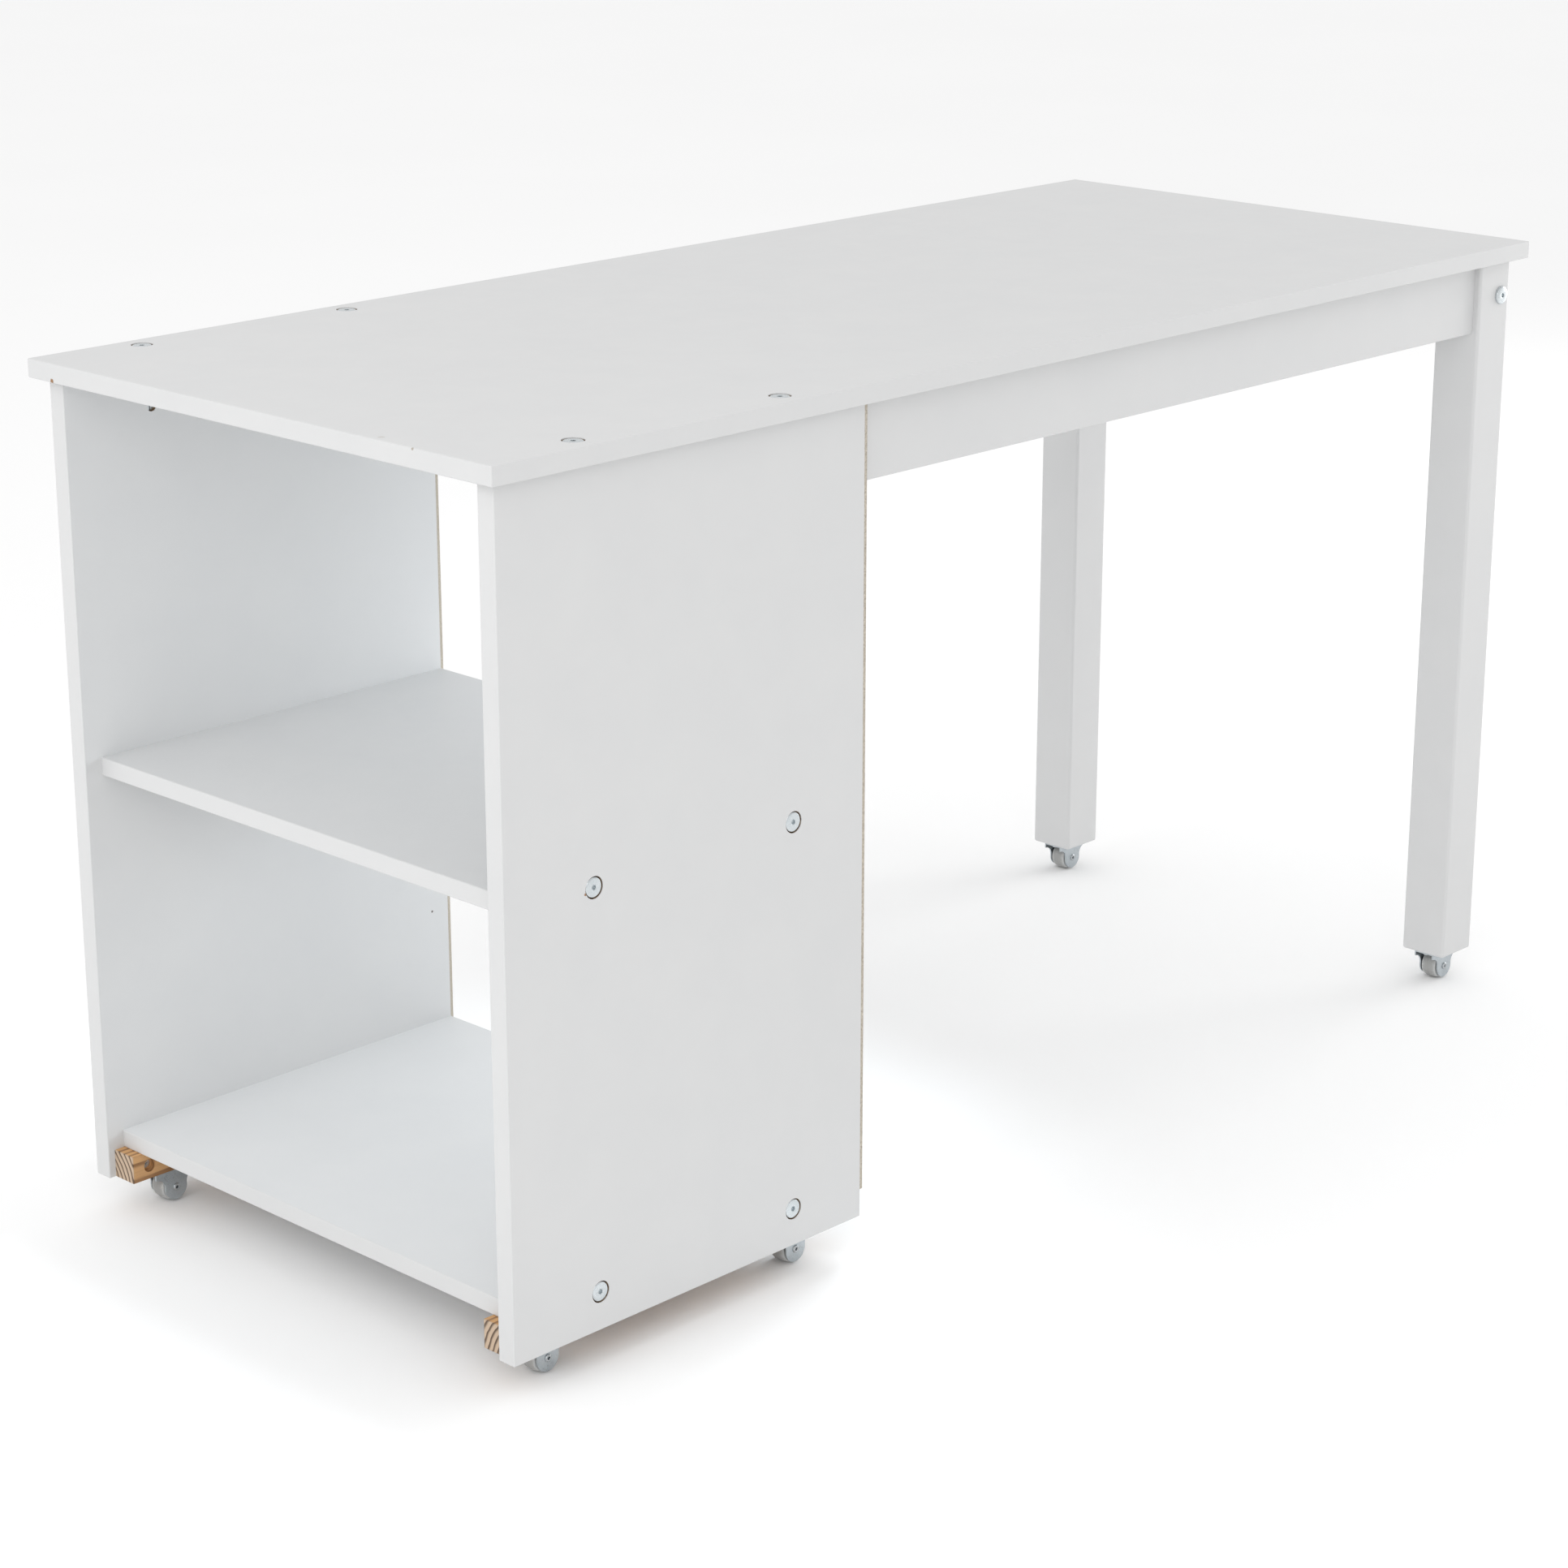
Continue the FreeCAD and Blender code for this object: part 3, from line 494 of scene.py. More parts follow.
# %% How deep a spot is inside its board
def depth_inside(bench, place, node):
    """The distance from a spot to the nearest side of the node's box."""
    low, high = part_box(node)
    middle, half = tuple((low + high) / 2), tuple((high - low) / 2)
    off = bench.add("ShaderNodeVectorMath", {"operation": "SUBTRACT"}, {0: place, 1: middle})[0]
    off = bench.add("ShaderNodeVectorMath", {"operation": "ABSOLUTE"}, {0: off})[0]
    room = bench.add("ShaderNodeVectorMath", {"operation": "SUBTRACT"}, {0: half, 1: off})[0]
    split = bench.add("ShaderNodeSeparateXYZ", None, {0: room})
    return bench.sum("MINIMUM", bench.sum("MINIMUM", split["X"], split["Y"]), split["Z"])


def bare_chips(bench, place):
    return shades(bench, cells(bench, place, 1.6 * MM), [
        (0.0, (0.10, 0.055, 0.03)), (0.5, (0.24, 0.15, 0.08)), (1.0, (0.38, 0.27, 0.16)),
    ])


def small_mark(bench, place, centre, size):
    """1 inside a small ragged spot, 0 outside it."""
    away = bench.add("ShaderNodeVectorMath", {"operation": "DISTANCE"}, {0: place, 1: centre})["Value"]
    ragged = away + (cloud(bench, place, size * 0.6) - 0.5) * size
    return 1.0 - step(bench, ragged, size * 0.55, size)


print("chips show below the skin")

# %% [markdown]
# Where the foil is marked
#
# A used board isn't clean all over. The top has a brown chip low on its open end's edge, a grey smudge by
# that edge and a nick in the arris. The front panel's foil is nicked beside one bolt. The rear panel has
# one pin hole inside, near its back edge. Each is a small ragged spot at its own place, worked out from
# the boards' boxes and the bolts.

# %% Places of the marks
top_low, top_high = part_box("table_top")
rear_low, rear_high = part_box("rear_side_panel")
front_seats = [seat for seat, outward in seats_of("shelf_bolts") if outward.y < 0]
nicked_seat = min(front_seats, key=lambda seat: seat.x - seat.z)
MARKS = {
    "table_top": [
        (Vector((top_low.x, top_high.y - 33 * MM, top_low.z + 1.5 * MM)), 2.6 * MM, (0.30, 0.16, 0.07)),
        (Vector((top_low.x + 8 * MM, top_low.y + 130 * MM, top_high.z)), 3.5 * MM, (0.55, 0.54, 0.52)),
        (Vector((top_low.x, top_low.y + 86 * MM, top_high.z - 0.6 * MM)), 1.6 * MM, (0.42, 0.38, 0.33)),
    ],
    "front_side_panel": [
        (nicked_seat + Vector((-9.2 * MM, 0, -3.4 * MM)), 1.7 * MM, (0.30, 0.17, 0.09)),
    ],
    "rear_side_panel": [
        (Vector((rear_high.x - 19 * MM, rear_low.y, 180 * MM)), 1.4 * MM, (0.10, 0.08, 0.07)),
    ],
}
print("marks:", {node: len(marks) for node, marks in MARKS.items()})

# %% The foil
def foil_on(node):
    def pattern(bench, place):
        colour = tint(bench, cloud(bench, place, 55 * MM, 4.0), (0.630, 0.634, 0.638), (0.665, 0.666, 0.664))
        specks = step(bench, cloud(bench, place, 1.1 * MM, 2.0), 0.70, 0.78)
        colour = tint(bench, specks * 0.10, colour, (0.55, 0.54, 0.52))
        for centre, size, shade in MARKS.get(node, []):
            colour = tint(bench, small_mark(bench, place, tuple(centre), size), colour, shade)
        below = step(bench, depth_inside(bench, place, node), 0.6 * MM, 0.9 * MM)
        colour = tint(bench, below, colour, bare_chips(bench, place))
        satin = cloud(bench, place, 14 * MM) * 0.10 + 0.36
        peel = relief(bench, cloud(bench, place, 0.9 * MM, 2.0), 0.010 * MM)
        return {
            "Base Color": colour,
            "Roughness": satin * (1.0 - below) + below * 0.85,
            "Normal": relief(bench, cloud(bench, place, 45 * MM, 1.0), 0.06 * MM, peel),
        }

    return finish("white_foil_" + node, {"IOR": 1.5, "Specular IOR Level": 0.45}, pattern)


print("foil rule ready")

# %% [markdown]
# White lacquer on wood
#
# The legs and aprons are painted wood. Thin lacquer sinks a little into the open grain, so long shallow
# lines show through along each piece's length. The same trick as on the boards bares the wood inside the
# bolt holes, but it starts deeper, because a leg's corners are rounded more.

# %% The lacquer
def lacquer_on(node, skin):
    low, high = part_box(node)
    size = high - low
    along = max(range(3), key=lambda axis: size[axis])
    lines = tuple(70 * MM if axis == along else 0.9 * MM for axis in range(3))

    def pattern(bench, place):
        colour = tint(bench, cloud(bench, place, 60 * MM, 4.0), (0.630, 0.634, 0.638), (0.665, 0.666, 0.665))
        grained = grain(bench, place, lines, 4.0)
        colour = tint(bench, step(bench, grained, 0.62, 0.80) * 0.12, colour, (0.60, 0.59, 0.56))
        below = step(bench, depth_inside(bench, place, node), skin, skin + 0.3 * MM)
        bare = shades(bench, grained, [(0.3, (0.20, 0.11, 0.055)), (0.7, (0.42, 0.27, 0.15))])
        colour = tint(bench, below, colour, bare)
        satin = cloud(bench, place, 12 * MM) * 0.12 + 0.38
        peel = relief(bench, cloud(bench, place, 1.2 * MM, 2.0), 0.010 * MM)
        return {
            "Base Color": colour,
            "Roughness": satin * (1.0 - below) + below * 0.8,
            "Normal": relief(bench, grained, 0.035 * MM, peel),
        }

    return finish("white_lacquer_" + node, {"IOR": 1.5, "Specular IOR Level": 0.45}, pattern)


print("lacquer rule ready")

# %% [markdown]
# Pine rails
#
# The rails under the bottom shelf are planed pine that nobody painted. Pine grows a pale band in spring
# and a thin dark one in late summer, in rings round the tree's heart. A rail is sawn beside the heart, so
# its end shows arcs and its sides show long lines. One sum on the distance from the heart's line draws
# both, and the two agree at the corners, which an image of wood would not. The sawn ends have greyed, and
# the dark bands stand out more there.

# %% The pine
def growth_rings(bench, place, heart_side, heart_height, ring):
    """How far a spot is across its growth ring, from 0 to 1."""
    sway = grain(bench, place, (160 * MM, 14 * MM, 14 * MM), 2.0) - 0.5
    split = bench.add("ShaderNodeSeparateXYZ", None, {0: place})
    side = bench.sum("ABSOLUTE", split["Y"]) - heart_side
    height = split["Z"] - heart_height
    away = bench.sum("SQRT", side * side + height * height) + sway * (3.2 * MM)
    return bench.sum("FRACT", away / ring)


def pine_pattern(bench, place):
    low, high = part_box("rear_caster_rail")
    across = growth_rings(bench, place, high.y + 34 * MM, low.z - 14 * MM, 5.2 * MM)
    late = step(bench, across, 0.42, 0.82) * (1.0 - step(bench, across, 0.93, 1.0))
    colour = tint(bench, late * 0.8, (0.66, 0.385, 0.175), (0.19, 0.085, 0.036))
    fibres = grain(bench, place, (38 * MM, 0.35 * MM, 0.35 * MM), 4.0)
    colour = tint(bench, step(bench, fibres, 0.45, 0.75) * 0.4, colour, (0.38, 0.205, 0.095))
    warm = cloud(bench, place, 40 * MM, 2.0)
    colour = tint(bench, step(bench, warm, 0.4, 0.7) * 0.3, colour, (0.52, 0.30, 0.155))
    along = bench.add("ShaderNodeSeparateXYZ", None, {0: place})["X"]
    from_middle = bench.sum("ABSOLUTE", along - (low.x + high.x) / 2)
    end_grain = step(bench, from_middle, (high.x - low.x) / 2 - 1.5 * MM, (high.x - low.x) / 2 - 0.2 * MM)
    greyed = tint(bench, late, (0.54, 0.43, 0.33), (0.085, 0.062, 0.048))
    colour = tint(bench, end_grain * 0.85, colour, greyed)
    return {
        "Base Color": colour,
        "Roughness": 0.66 - late * 0.14,
        "Normal": relief(bench, fibres, 0.05 * MM, relief(bench, late, 0.03 * MM)),
    }


PINE = finish("planed_pine", {"IOR": 1.45, "Specular IOR Level": 0.3}, pine_pattern)
print("made", PINE.name)

# %% [markdown]
# Hardboard strips
#
# A thin strip of pressed fibre closes each side panel's raw back edge. Hardboard has no grain: it is a
# felt of short fibres in several browns, rough to the touch, with paler flecks.

# %% The hardboard
def hardboard_pattern(bench, place):
    felt = cloud(bench, place, 0.8 * MM, 5.0)
    colour = shades(bench, felt, [
        (0.30, (0.26, 0.225, 0.185)), (0.50, (0.48, 0.43, 0.36)), (0.70, (0.66, 0.61, 0.53)),
    ])
    flecks = step(bench, cloud(bench, place, 0.45 * MM, 1.0), 0.66, 0.74)
    colour = tint(bench, flecks * 0.6, colour, (0.62, 0.57, 0.50))
    return {
        "Base Color": colour,
        "Roughness": felt * 0.2 + 0.70,
        "Normal": relief(bench, felt, 0.08 * MM),
    }


HARDBOARD = finish("raw_hardboard", {"IOR": 1.45, "Specular IOR Level": 0.2}, hardboard_pattern)
print("made", HARDBOARD.name)

# %% [markdown]
# Beech dowels
#
# Dowels are beech: pinkish brown, with short dark flecks along the grain where the wood's rays are cut.

# %% The beech
def beech_pattern(bench, place):
    lines = cloud(bench, place, 0.7 * MM, 4.0)
    flecks = step(bench, cloud(bench, place, 0.5 * MM, 1.0), 0.64, 0.72)
    colour = shades(bench, lines, [(0.3, (0.46, 0.29, 0.17)), (0.7, (0.62, 0.43, 0.27))])
    return {
        "Base Color": tint(bench, flecks * 0.5, colour, (0.30, 0.16, 0.08)),
        "Roughness": lines * 0.15 + 0.55,
        "Normal": relief(bench, lines, 0.03 * MM),
    }


BEECH = finish("planed_beech", {"IOR": 1.45, "Specular IOR Level": 0.3}, beech_pattern)
print("made", BEECH.name)

# %% [markdown]
# Zinc plating, four ways
#
# All the steel here is zinc plated, but it doesn't all look alike. Bolts come off a lathe, so fine rings
# run round their heads. Screws are duller, from a barrel. The casters' forks are pressed from sheet,
# which leaves a drift of small crystals and draw marks. Their zinc is painted darker than the bolts':
# that is painted shade, for the forks sit in shadow under the cabinet. Rivets are burnished where the
# tool rolled them over. One function mixes the crystals, the stains and the roughness, and takes the
# marks as a choice.

# %% The zinc
def zinc(name, bright, dull, smooth, crystal, marks):
    def pattern(bench, place):
        crystals = cells(bench, place, crystal)
        stains = cloud(bench, place, 9 * MM, 4.0)
        colour = tint(bench, crystals * 0.3 + stains * 0.7, dull, bright)
        grime = step(bench, cloud(bench, place, 5 * MM, 5.0), 0.60, 0.78)
        colour = tint(bench, grime * 0.35, colour, (0.26, 0.25, 0.23))
        return {
            "Base Color": colour,
            "Roughness": crystals * 0.04 + stains * 0.14 + grime * 0.15 + smooth,
            "Normal": marks(bench, place),
        }

    return finish(name, {"Metallic": 1.0}, pattern)


def lathe_rings(bench, place):
    reach = bench.add("ShaderNodeAttribute", {"attribute_name": "reach"})["Fac"]
    rings = bench.sum("SINE", reach * (math.tau / (0.22 * MM))) * 0.5 + 0.5
    return relief(bench, rings, 0.002 * MM, relief(bench, cloud(bench, place, 0.6 * MM), 0.004 * MM))


def barrel_dents(bench, place):
    return relief(bench, cloud(bench, place, 0.5 * MM), 0.012 * MM)


def draw_marks(bench, place):
    drawn = grain(bench, place, (12 * MM, 12 * MM, 0.25 * MM), 3.0)
    return relief(bench, drawn, 0.010 * MM, relief(bench, cloud(bench, place, 3 * MM), 0.03 * MM))


BOLT_ZINC = zinc("turned_zinc", (0.74, 0.77, 0.78), (0.52, 0.57, 0.60), 0.18, 0.5 * MM, lathe_rings)
SCREW_ZINC = zinc("barrel_zinc", (0.72, 0.74, 0.74), (0.54, 0.57, 0.59), 0.26, 0.8 * MM, barrel_dents)
# The sheet zinc's darker colours are painted shade for the forks in shadow under the cabinet.
SHADED_SHEET_ZINC = zinc("pressed_zinc_painted_shade", (0.60, 0.64, 0.66), (0.36, 0.40, 0.43), 0.22, 0.7 * MM, draw_marks)
RIVET_ZINC = zinc("burnished_zinc", (0.62, 0.64, 0.65), (0.30, 0.33, 0.35), 0.14, 0.6 * MM, lathe_rings)
print("made", [metal.name for metal in (BOLT_ZINC, SCREW_ZINC, SHADED_SHEET_ZINC, RIVET_ZINC)])

# %% [markdown]
# Wheel plastic
#
# The wheels are hard pale plastic. Their sides stay clean and a little glossy. The tread picks up floor
# dust and goes matt. Its ragged grey band is partly that dust and partly painted shade, for the wheels
# sit in shadow under the table. The band follows the distance from the axle noted when the wheel was
# turned.

# %% The plastic
def wheel_pattern(bench, place):
    reach = bench.add("ShaderNodeAttribute", {"attribute_name": "reach"})["Fac"]
    ragged = reach + (cloud(bench, place, 2.5 * MM, 4.0) - 0.5) * (1.6 * MM)
    # The grey tread band: floor dust and painted shade for wheels in shadow under the table.
    dust_and_shade = step(bench, ragged, 11.6 * MM, 13.4 * MM)
    colour = tint(bench, cloud(bench, place, 6 * MM), (0.50, 0.51, 0.51), (0.64, 0.645, 0.64))
    colour = tint(bench, dust_and_shade * 0.6, colour, (0.22, 0.22, 0.21))
    scuffs = cloud(bench, place, 0.4 * MM, 3.0)
    return {
        "Base Color": colour,
        "Roughness": dust_and_shade * 0.22 + scuffs * 0.10 + 0.16,
        "Normal": relief(bench, scuffs, 0.015 * MM),
    }


WHEEL_PLASTIC = finish("pale_wheel_plastic", {"IOR": 1.49}, wheel_pattern)
print("finishes:", len(bpy.data.materials))

# %% [markdown]
# Dressing the frame's own pieces
#
# The boards, legs, rails, strips, forks, nuts, nails and brackets keep their CAD shapes. Each one's
# material slot is given its finish. The record says which slot each piece belongs to, so pieces that
# share a slot can't be missed.

# %% Give each CAD piece its finish
SLOT_OF = {part["node"]: part["material_slot"] for part in frame["record"]["subparts"]}
BY_SLOT = {
    "hardboard": HARDBOARD, "pine": PINE, "beech": BEECH, "wheel_plastic": WHEEL_PLASTIC,
    "zinc_bolts": BOLT_ZINC, "zinc_screws": SCREW_ZINC, "stamped_zinc": SHADED_SHEET_ZINC, "rivet_steel": RIVET_ZINC,
}


def finish_for(node):
    if SLOT_OF[node] == "white_foil":
        return foil_on(node)
    if SLOT_OF[node] == "white_lacquer":
        return lacquer_on(node, (1.3 if node.endswith("leg") else 0.6) * MM)
    if node.endswith("barrel_nuts"):
        return SCREW_ZINC
    return BY_SLOT[SLOT_OF[node]]


for node, piece in NODES.items():
    dressed = finish_for(node)
    for holder in piece.material_slots:
        holder.material = dressed
print("dressed:", len(NODES))

# %% [markdown]
# Connector bolts
#
# Sixteen flat-headed bolts hold the table together. Seen from outside, each is a bright disc with a
# rolled rim and a hexagonal socket. The shank is hidden, but it is a real bolt, so it gets a plain length
# and then a thread. The length, head and pitch are named inputs, and the leg bolts are simply a longer
# setting of the same tree.

# %% The bolt tree
def bolt_tree():
    bench, seats, size = new_tree("connector_bolt", {
        "Length": 58.7 * MM, "Head radius": 8.5 * MM, "Head height": 3.2 * MM, "Rim": 1.5 * MM,
        "Shank radius": 3.0 * MM, "Socket": 2.0 * MM, "Socket depth": 2.4 * MM, "Pitch": 1.0 * MM,
        "Thread length": 22.0 * MM,
    })
    head, rim, high = size["Head radius"], size["Rim"], size["Head height"]
    shank, socket, deep = size["Shank radius"], size["Socket"], size["Socket depth"]
    core = shank - 0.35 * MM
    thread_top = size["Thread length"] - size["Length"]
    outline = [
        (0.0, deep * -1.12), (socket, deep * -1.0, "hexagon"), (socket, -0.25 * MM, "hexagon"),
        (socket * 1.25, -0.02 * MM), (socket * 1.6, 0.0), (head - rim, 0.0), (head - rim * 0.62, rim * -0.08),
        (head - rim * 0.29, rim * -0.29), (head - rim * 0.08, rim * -0.62), (head, rim * -1.0),
        (head, high * -0.94), (head - 0.2 * MM, high * -1.0), (shank, high * -1.0), (shank, thread_top),
        (core, thread_top - 0.4 * MM), (0.0, thread_top - 0.4 * MM),
    ]
    thread = threaded(bench, core, 0.35 * MM, size["Pitch"], thread_top + 0.2 * MM,
                      size["Thread length"] + 0.2 * MM, 0.8 * MM, 92, 24)
    stand_on_seats(bench, seats, joined(bench, turned(bench, outline, 48), thread), BOLT_ZINC, 7)
    return bench


BOLT = bolt_tree()
print("bolt sizes:", [item.name for item in BOLT.tree.interface.items_tree if "Geometry" not in item.name])

# %% Make the bolts
for name, group in (("threaded_top_bolts", "top_bolts"), ("threaded_shelf_bolts", "shelf_bolts"),
                    ("threaded_leg_bolts", "leg_bolts")):
    long = max(float((p.max(0) - p.min(0)).max()) for p in separate_solids(group))
    bolts = plain_piece(name, BOLT, seats_of(group), {"Length": long})
    set_down(bolts, [group])
    print(name, "length", round(long / MM, 1), "mm")

# %% [markdown]
# Wood screws
#
# Two screws are used. A countersunk one draws each rail against its side panel from deep in a
# counterbore, and a short pan-headed one holds the brackets and the casters. Both have a crosshead recess
# and a coarse thread that runs down to a point.

# %% The screw trees
def pan_screw_tree():
    bench, seats, size = new_tree("pan_head_screw", {
        "Length": 15.8 * MM, "Head radius": 3.4 * MM, "Head height": 1.8 * MM, "Core": 1.15 * MM,
        "Ridge": 0.6 * MM, "Pitch": 1.5 * MM, "Recess": 1.6 * MM,
    })
    head, high, core, recess = size["Head radius"], size["Head height"], size["Core"], size["Recess"]
    outline = [
        (0.0, -1.15 * MM), (recess * 0.45, -1.0 * MM, "cross"), (recess, -0.06 * MM, "cross"),
        (recess * 1.15, 0.0), (head * 0.66, -0.02 * MM), (head * 0.84, high * -0.16),
        (head * 0.96, high * -0.42), (head, high * -0.72), (head, high * -1.0), (core, high * -1.0),
        (core, high * -1.15), (0.0, high * -1.15),
    ]
    thread = threaded(bench, core, size["Ridge"], size["Pitch"], high * -1.0, size["Length"] - high,
                      3.5 * MM, 44, 20)
    stand_on_seats(bench, seats, joined(bench, turned(bench, outline, 32), thread), SCREW_ZINC, 11)
    return bench


def sunk_screw_tree():
    bench, seats, size = new_tree("countersunk_screw", {
        "Length": 27.0 * MM, "Head radius": 4.0 * MM, "Core": 1.35 * MM, "Ridge": 0.65 * MM,
        "Pitch": 1.8 * MM, "Recess": 2.0 * MM,
    })
    head, core, recess = size["Head radius"], size["Core"], size["Recess"]
    outline = [
        (0.0, -1.9 * MM), (recess * 0.4, -1.7 * MM, "cross"), (recess, -0.05 * MM, "cross"),
        (recess * 1.15, 0.0), (head * 0.97, 0.0), (head, -0.12 * MM), (core, core - head),
        (core, core - head - 0.2 * MM), (0.0, core - head - 0.2 * MM),
    ]
    thread = threaded(bench, core, size["Ridge"], size["Pitch"], core - head, size["Length"] + core - head,
                      4.0 * MM, 60, 20)
    stand_on_seats(bench, seats, joined(bench, turned(bench, outline, 32), thread), SCREW_ZINC, 5)
    return bench


PAN_SCREW, SUNK_SCREW = pan_screw_tree(), sunk_screw_tree()
print("two screw trees ready")

# %% Make the screws
for name, group, tree in (("pointed_bracket_screws", "bracket_screws", PAN_SCREW),
                          ("pointed_caster_screws", "caster_screws", PAN_SCREW),
                          ("pointed_rail_screws", "rail_screws", SUNK_SCREW)):
    set_down(plain_piece(name, tree, seats_of(group)), [group])

# %% [markdown]
# Fluted dowels
#
# A dowel's flutes let the glue and the air out of the hole. Twelve shallow waves round the rod give them,
# and the ends are chamfered so that the dowel starts easily.

# %% Make the dowels
def dowel_tree():
    bench, seats, size = new_tree("fluted_dowel", {
        "Length": 30.0 * MM, "Radius": 4.0 * MM, "Chamfer": 1.0 * MM,
    })
    long, radius, chamfer = size["Length"], size["Radius"], size["Chamfer"]
    outline = [
        (0.0, 0.0), (radius - chamfer, 0.0), (radius, chamfer * -1.0, "flutes"),
        (radius, chamfer - long, "flutes"), (radius - chamfer, long * -1.0), (0.0, long * -1.0),
    ]
    stand_on_seats(bench, seats, turned(bench, outline, 48), BEECH, 3)
    return bench


DOWEL = dowel_tree()
for name, group, sizes in (("fluted_board_dowels", "board_dowels", {}),
                           ("fluted_slim_dowels", "slim_dowels", {"Length": 24.0 * MM, "Radius": 3.0 * MM})):
    set_down(plain_piece(name, DOWEL, seats_of(group), sizes), [group])

# %% [markdown]
# Wheels
#
# A caster wheel is a main piece whose shape follows a rule: a crowned tread, shoulders, a dished side and
# a hub, the same on both sides. The tree makes one half of the outline from named sizes and mirrors it in
# the list, so the two sides can't differ. The crown is a shallow curve in four steps, and a thin line
# round its middle is where the two halves of the mould met.

# %% The wheel tree
def wheel_tree():
    bench, seats, size = new_tree("caster_wheel", {
        "Radius": 13.5 * MM, "Half width": 8.0 * MM, "Flat": 2.0 * MM, "Shoulder": 1.5 * MM,
        "Hub radius": 5.0 * MM, "Hub half length": 9.2 * MM, "Bore": 2.56 * MM, "Dish": 1.6 * MM,
    })
    radius, wide, flat = size["Radius"], size["Half width"], size["Flat"]
    hub, hub_end, bore, dish = size["Hub radius"], size["Hub half length"], size["Bore"], size["Dish"]
    run = wide - flat

    def crown(share):
        """A tread point, with share going from 0 at the flat's edge to 1 at the shoulder."""
        return radius - size["Shoulder"] * share ** 2, flat + run * share

    half = [
        (radius, 0.12 * MM), (radius, flat), crown(0.3), crown(0.6), crown(0.85), crown(0.95),
        (radius - size["Shoulder"] - 0.5 * MM, wide), (radius - 3.2 * MM, wide),
        (radius - 4.0 * MM, wide - dish * 0.8), (radius - 4.4 * MM, wide - dish),
        (hub + 0.6 * MM, wide - dish), (hub + 0.1 * MM, wide - dish * 0.8), (hub, wide),
        (hub, hub_end - 0.3 * MM), (hub - 0.3 * MM, hub_end), (bore + 0.3 * MM, hub_end),
        (bore, hub_end - 0.3 * MM),
    ]
    other = [(r, z * -1.0 if isinstance(z, Wire) else -z) for r, z in reversed(half)]
    outline = [(radius + 0.06 * MM, 0.0)] + half + other + [(radius + 0.06 * MM, 0.0)]
    stand_on_seats(bench, seats, turned(bench, outline, 72), WHEEL_PLASTIC, 2)
    return bench


WHEEL = wheel_tree()
print("wheel tree ready")

# %% Make the wheels
CORNERS = sorted(node[: -len("_caster_wheel")] for node in NODES if node.endswith("_caster_wheel"))
AXLE_WAY = Vector((0, 1, 0))
for corner in CORNERS:
    low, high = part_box(corner + "_caster_wheel")
    sizes = {"Radius": (high.z - low.z) / 2, "Hub half length": (high.y - low.y) / 2}
    wheel = plain_piece(corner + "_turned_wheel", WHEEL, [((low + high) / 2, AXLE_WAY)], sizes)
    set_down(wheel, [corner + "_caster_wheel"], corner + "_wheel")

# %% [markdown]
# Axle rivets
#
# Each wheel turns on a hollow rivet. Its ends are rolled outwards against the fork's cheeks, which leaves
# a round ring with a dimple in the middle. The six are one piece here, since all of them sit still in the
# forks.

# %% Make the rivets
def rivet_tree():
    bench, seats, size = new_tree("axle_rivet", {
        "Length": 24.6 * MM, "Ring radius": 3.5 * MM, "Ring height": 1.3 * MM, "Pin radius": 2.5 * MM,
        "Dimple": 1.25 * MM,
    })
    ring, high, pin, dimple = size["Ring radius"], size["Ring height"], size["Pin radius"], size["Dimple"]
    middle = (ring + dimple) * 0.5
    head = [
        (0.0, high * -2.2), (dimple * 0.85, high * -2.0), (dimple, high * -0.45),
        (dimple + 0.2 * MM, high * -0.15), (middle - 0.1 * MM, 0.0), (middle + 0.25 * MM, high * -0.02),
        (ring - 0.35 * MM, high * -0.25), (ring, high * -0.62), (ring - 0.05 * MM, high * -1.0),
        (pin, high * -1.0),
    ]
    tail = [(r, size["Length"] * -1.0 - z) for r, z in reversed(head)]
    stand_on_seats(bench, seats, turned(bench, head + tail, 40), RIVET_ZINC, 13)
    return bench


def rivet_seat(corner):
    low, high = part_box(corner + "_caster_axle")
    return Vector(((low.x + high.x) / 2, high.y, (low.z + high.z) / 2)), AXLE_WAY


axle_low, axle_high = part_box(CORNERS[0] + "_caster_axle")
rivets = plain_piece("rolled_axle_rivets", rivet_tree(), [rivet_seat(corner) for corner in CORNERS],
                     {"Length": axle_high.y - axle_low.y})
set_down(rivets, [corner + "_caster_axle" for corner in CORNERS])
print("rivets on", len(CORNERS), "axles")

# %% [markdown]
# The studio
#
# A white table in a white room has no outline unless its faces differ in brightness. An even sky lights
# everything, and a very soft high sun makes the top a little brighter than the sides. A large panel
# stands off the front corner, a smaller one faces the open bays, and a third one beyond the legs evens
# out that end. The bays would still be dark, because the top shades them, so a small cool panel shines
# into them from behind, well below the top. The floor is nearly white and takes only soft shadows.

# %% Floor and light
def floor_pattern(bench, place):
    shade = cloud(bench, place, 0.8, 2.0)
    return {
        "Base Color": tint(bench, shade, (0.97, 0.97, 0.97), (0.99, 0.99, 0.99)),
        "Roughness": shade * 0.1 + 0.8,
    }


bpy.ops.mesh.primitive_plane_add(size=120)
floor = bpy.context.object
floor.name = "studio_floor"
floor.data.materials.append(finish("pale_floor", {"Specular IOR Level": 0.1}, floor_pattern))
floor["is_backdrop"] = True

sky = bpy.data.worlds.new("soft_sky")
sky.use_nodes = True
sky_bench = Bench(sky.node_tree)
sky_light = sky_bench.add("ShaderNodeBackground", None, {"Color": (1.0, 1.0, 1.0, 1.0), "Strength": 0.84})
sky_bench.add("ShaderNodeOutputWorld", None, {"Surface": sky_light[0]})
bpy.context.scene.world = sky

high_sun = bpy.data.objects.new("high_sun", bpy.data.lights.new("high_sun", "SUN"))
high_sun.data.energy, high_sun.data.angle = 0.34, math.radians(110)
high_sun.rotation_euler = (0, math.radians(-15), 0)
bpy.context.scene.collection.objects.link(high_sun)


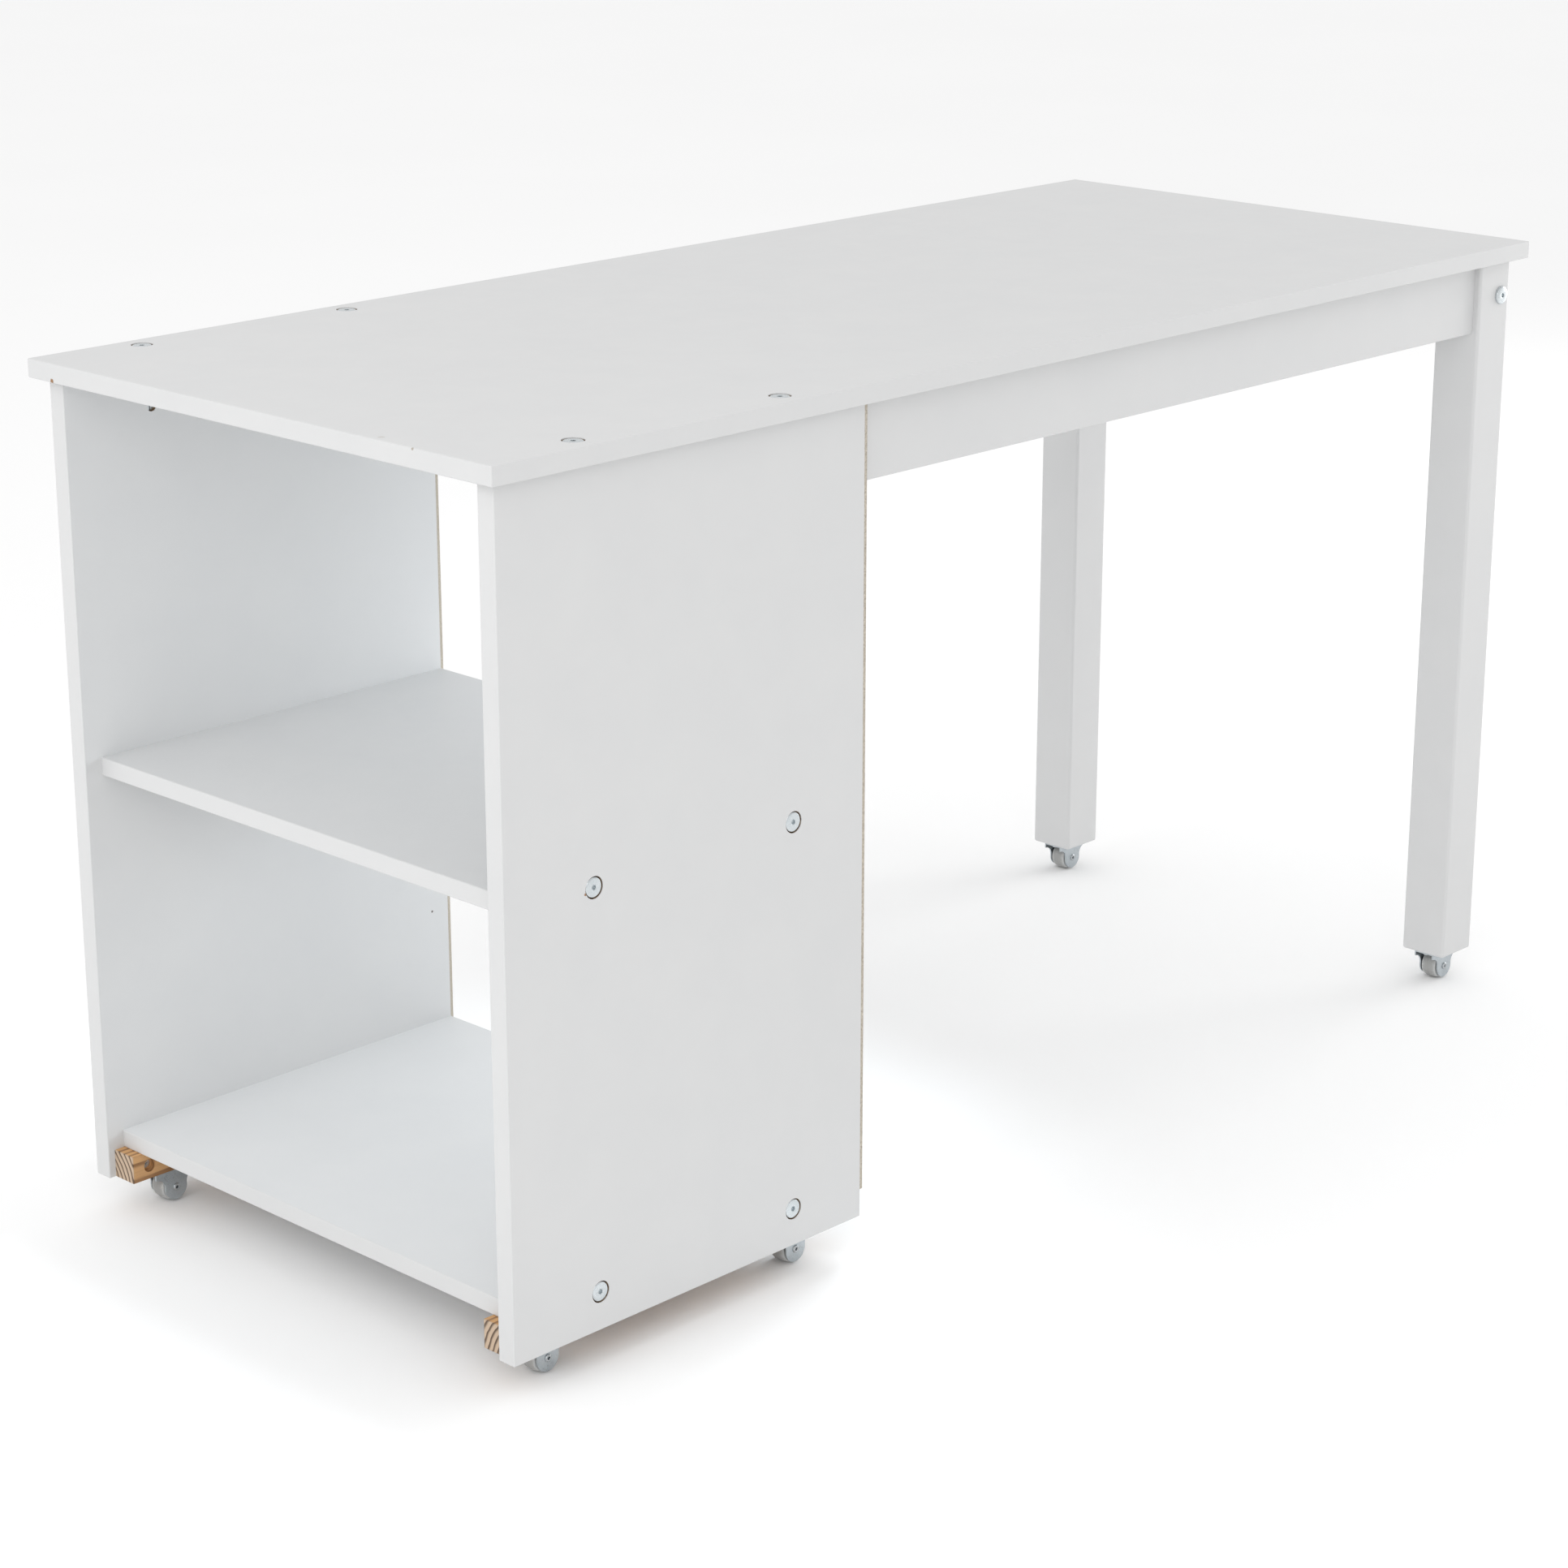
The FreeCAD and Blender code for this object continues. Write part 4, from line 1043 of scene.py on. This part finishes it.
def light_panel(name, place, target, width, power, colour=(1.0, 1.0, 1.0), spread=180):
    lamp = bpy.data.lights.new(name, "AREA")
    lamp.color, lamp.spread = colour, math.radians(spread)
    lamp.shape, lamp.size, lamp.energy = "SQUARE", width, power
    panel = bpy.data.objects.new(name, lamp)
    bpy.context.scene.collection.objects.link(panel)
    panel.location = place
    panel.visible_camera = False
    panel.visible_glossy = spread == 180
    panel.rotation_euler = (Vector(target) - Vector(place)).to_track_quat("-Z", "Y").to_euler()


light_panel("key_panel", (-3.2, -2.9, 2.4), (-0.3, 0, 0.4), 2.2, 20)
light_panel("end_panel", (-2.9, 0.0, 2.0), (-0.4, 0, 0.4), 1.6, 15)
light_panel("back_panel", (3.4, -0.7, 1.0), (-0.4, 0.2, 0.4), 1.8, 30)
light_panel("bay_panel", (0.3, 0.0, 0.52), (-0.5, 0.02, 0.3), 0.32, 1.9, (0.88, 0.95, 1.0), 100)
bpy.context.scene.view_settings.view_transform = "Standard"
print("lights:", len(bpy.data.lights), "and the sky")

# %% [markdown]
# The camera
#
# The table is seen from its open end's front corner, from a little above, through a long lens, so that
# its sides hardly narrow with distance.

# %% Camera
lens = bpy.data.cameras.new("view")
lens.lens, lens.sensor_width = 86.1, 36.0
camera = bpy.data.objects.new("view", lens)
bpy.context.scene.collection.objects.link(camera)
camera.location = (-2.405, -2.247, 1.351)
turn, dip = math.radians(46.09), math.radians(17.78)
ahead = Vector((math.sin(turn) * math.cos(dip), math.cos(turn) * math.cos(dip), -math.sin(dip)))
camera.rotation_euler = ahead.to_track_quat("-Z", "Y").to_euler()
bpy.context.scene.camera = camera
print("camera turned", round(math.degrees(turn), 1), "and dipped", round(math.degrees(dip), 1), "degrees")

# %% [markdown]
# The dressed size
#
# The box round the dressed table is kept beside the CAD box, so that any growth shows at once.

# %% Sizes
seen_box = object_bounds()
for cad_corner, seen_corner in zip(CAD_BOX, seen_box):
    print("off the CAD box by", [round((b - a) / MM, 2) for a, b in zip(cad_corner, seen_corner)], "mm")
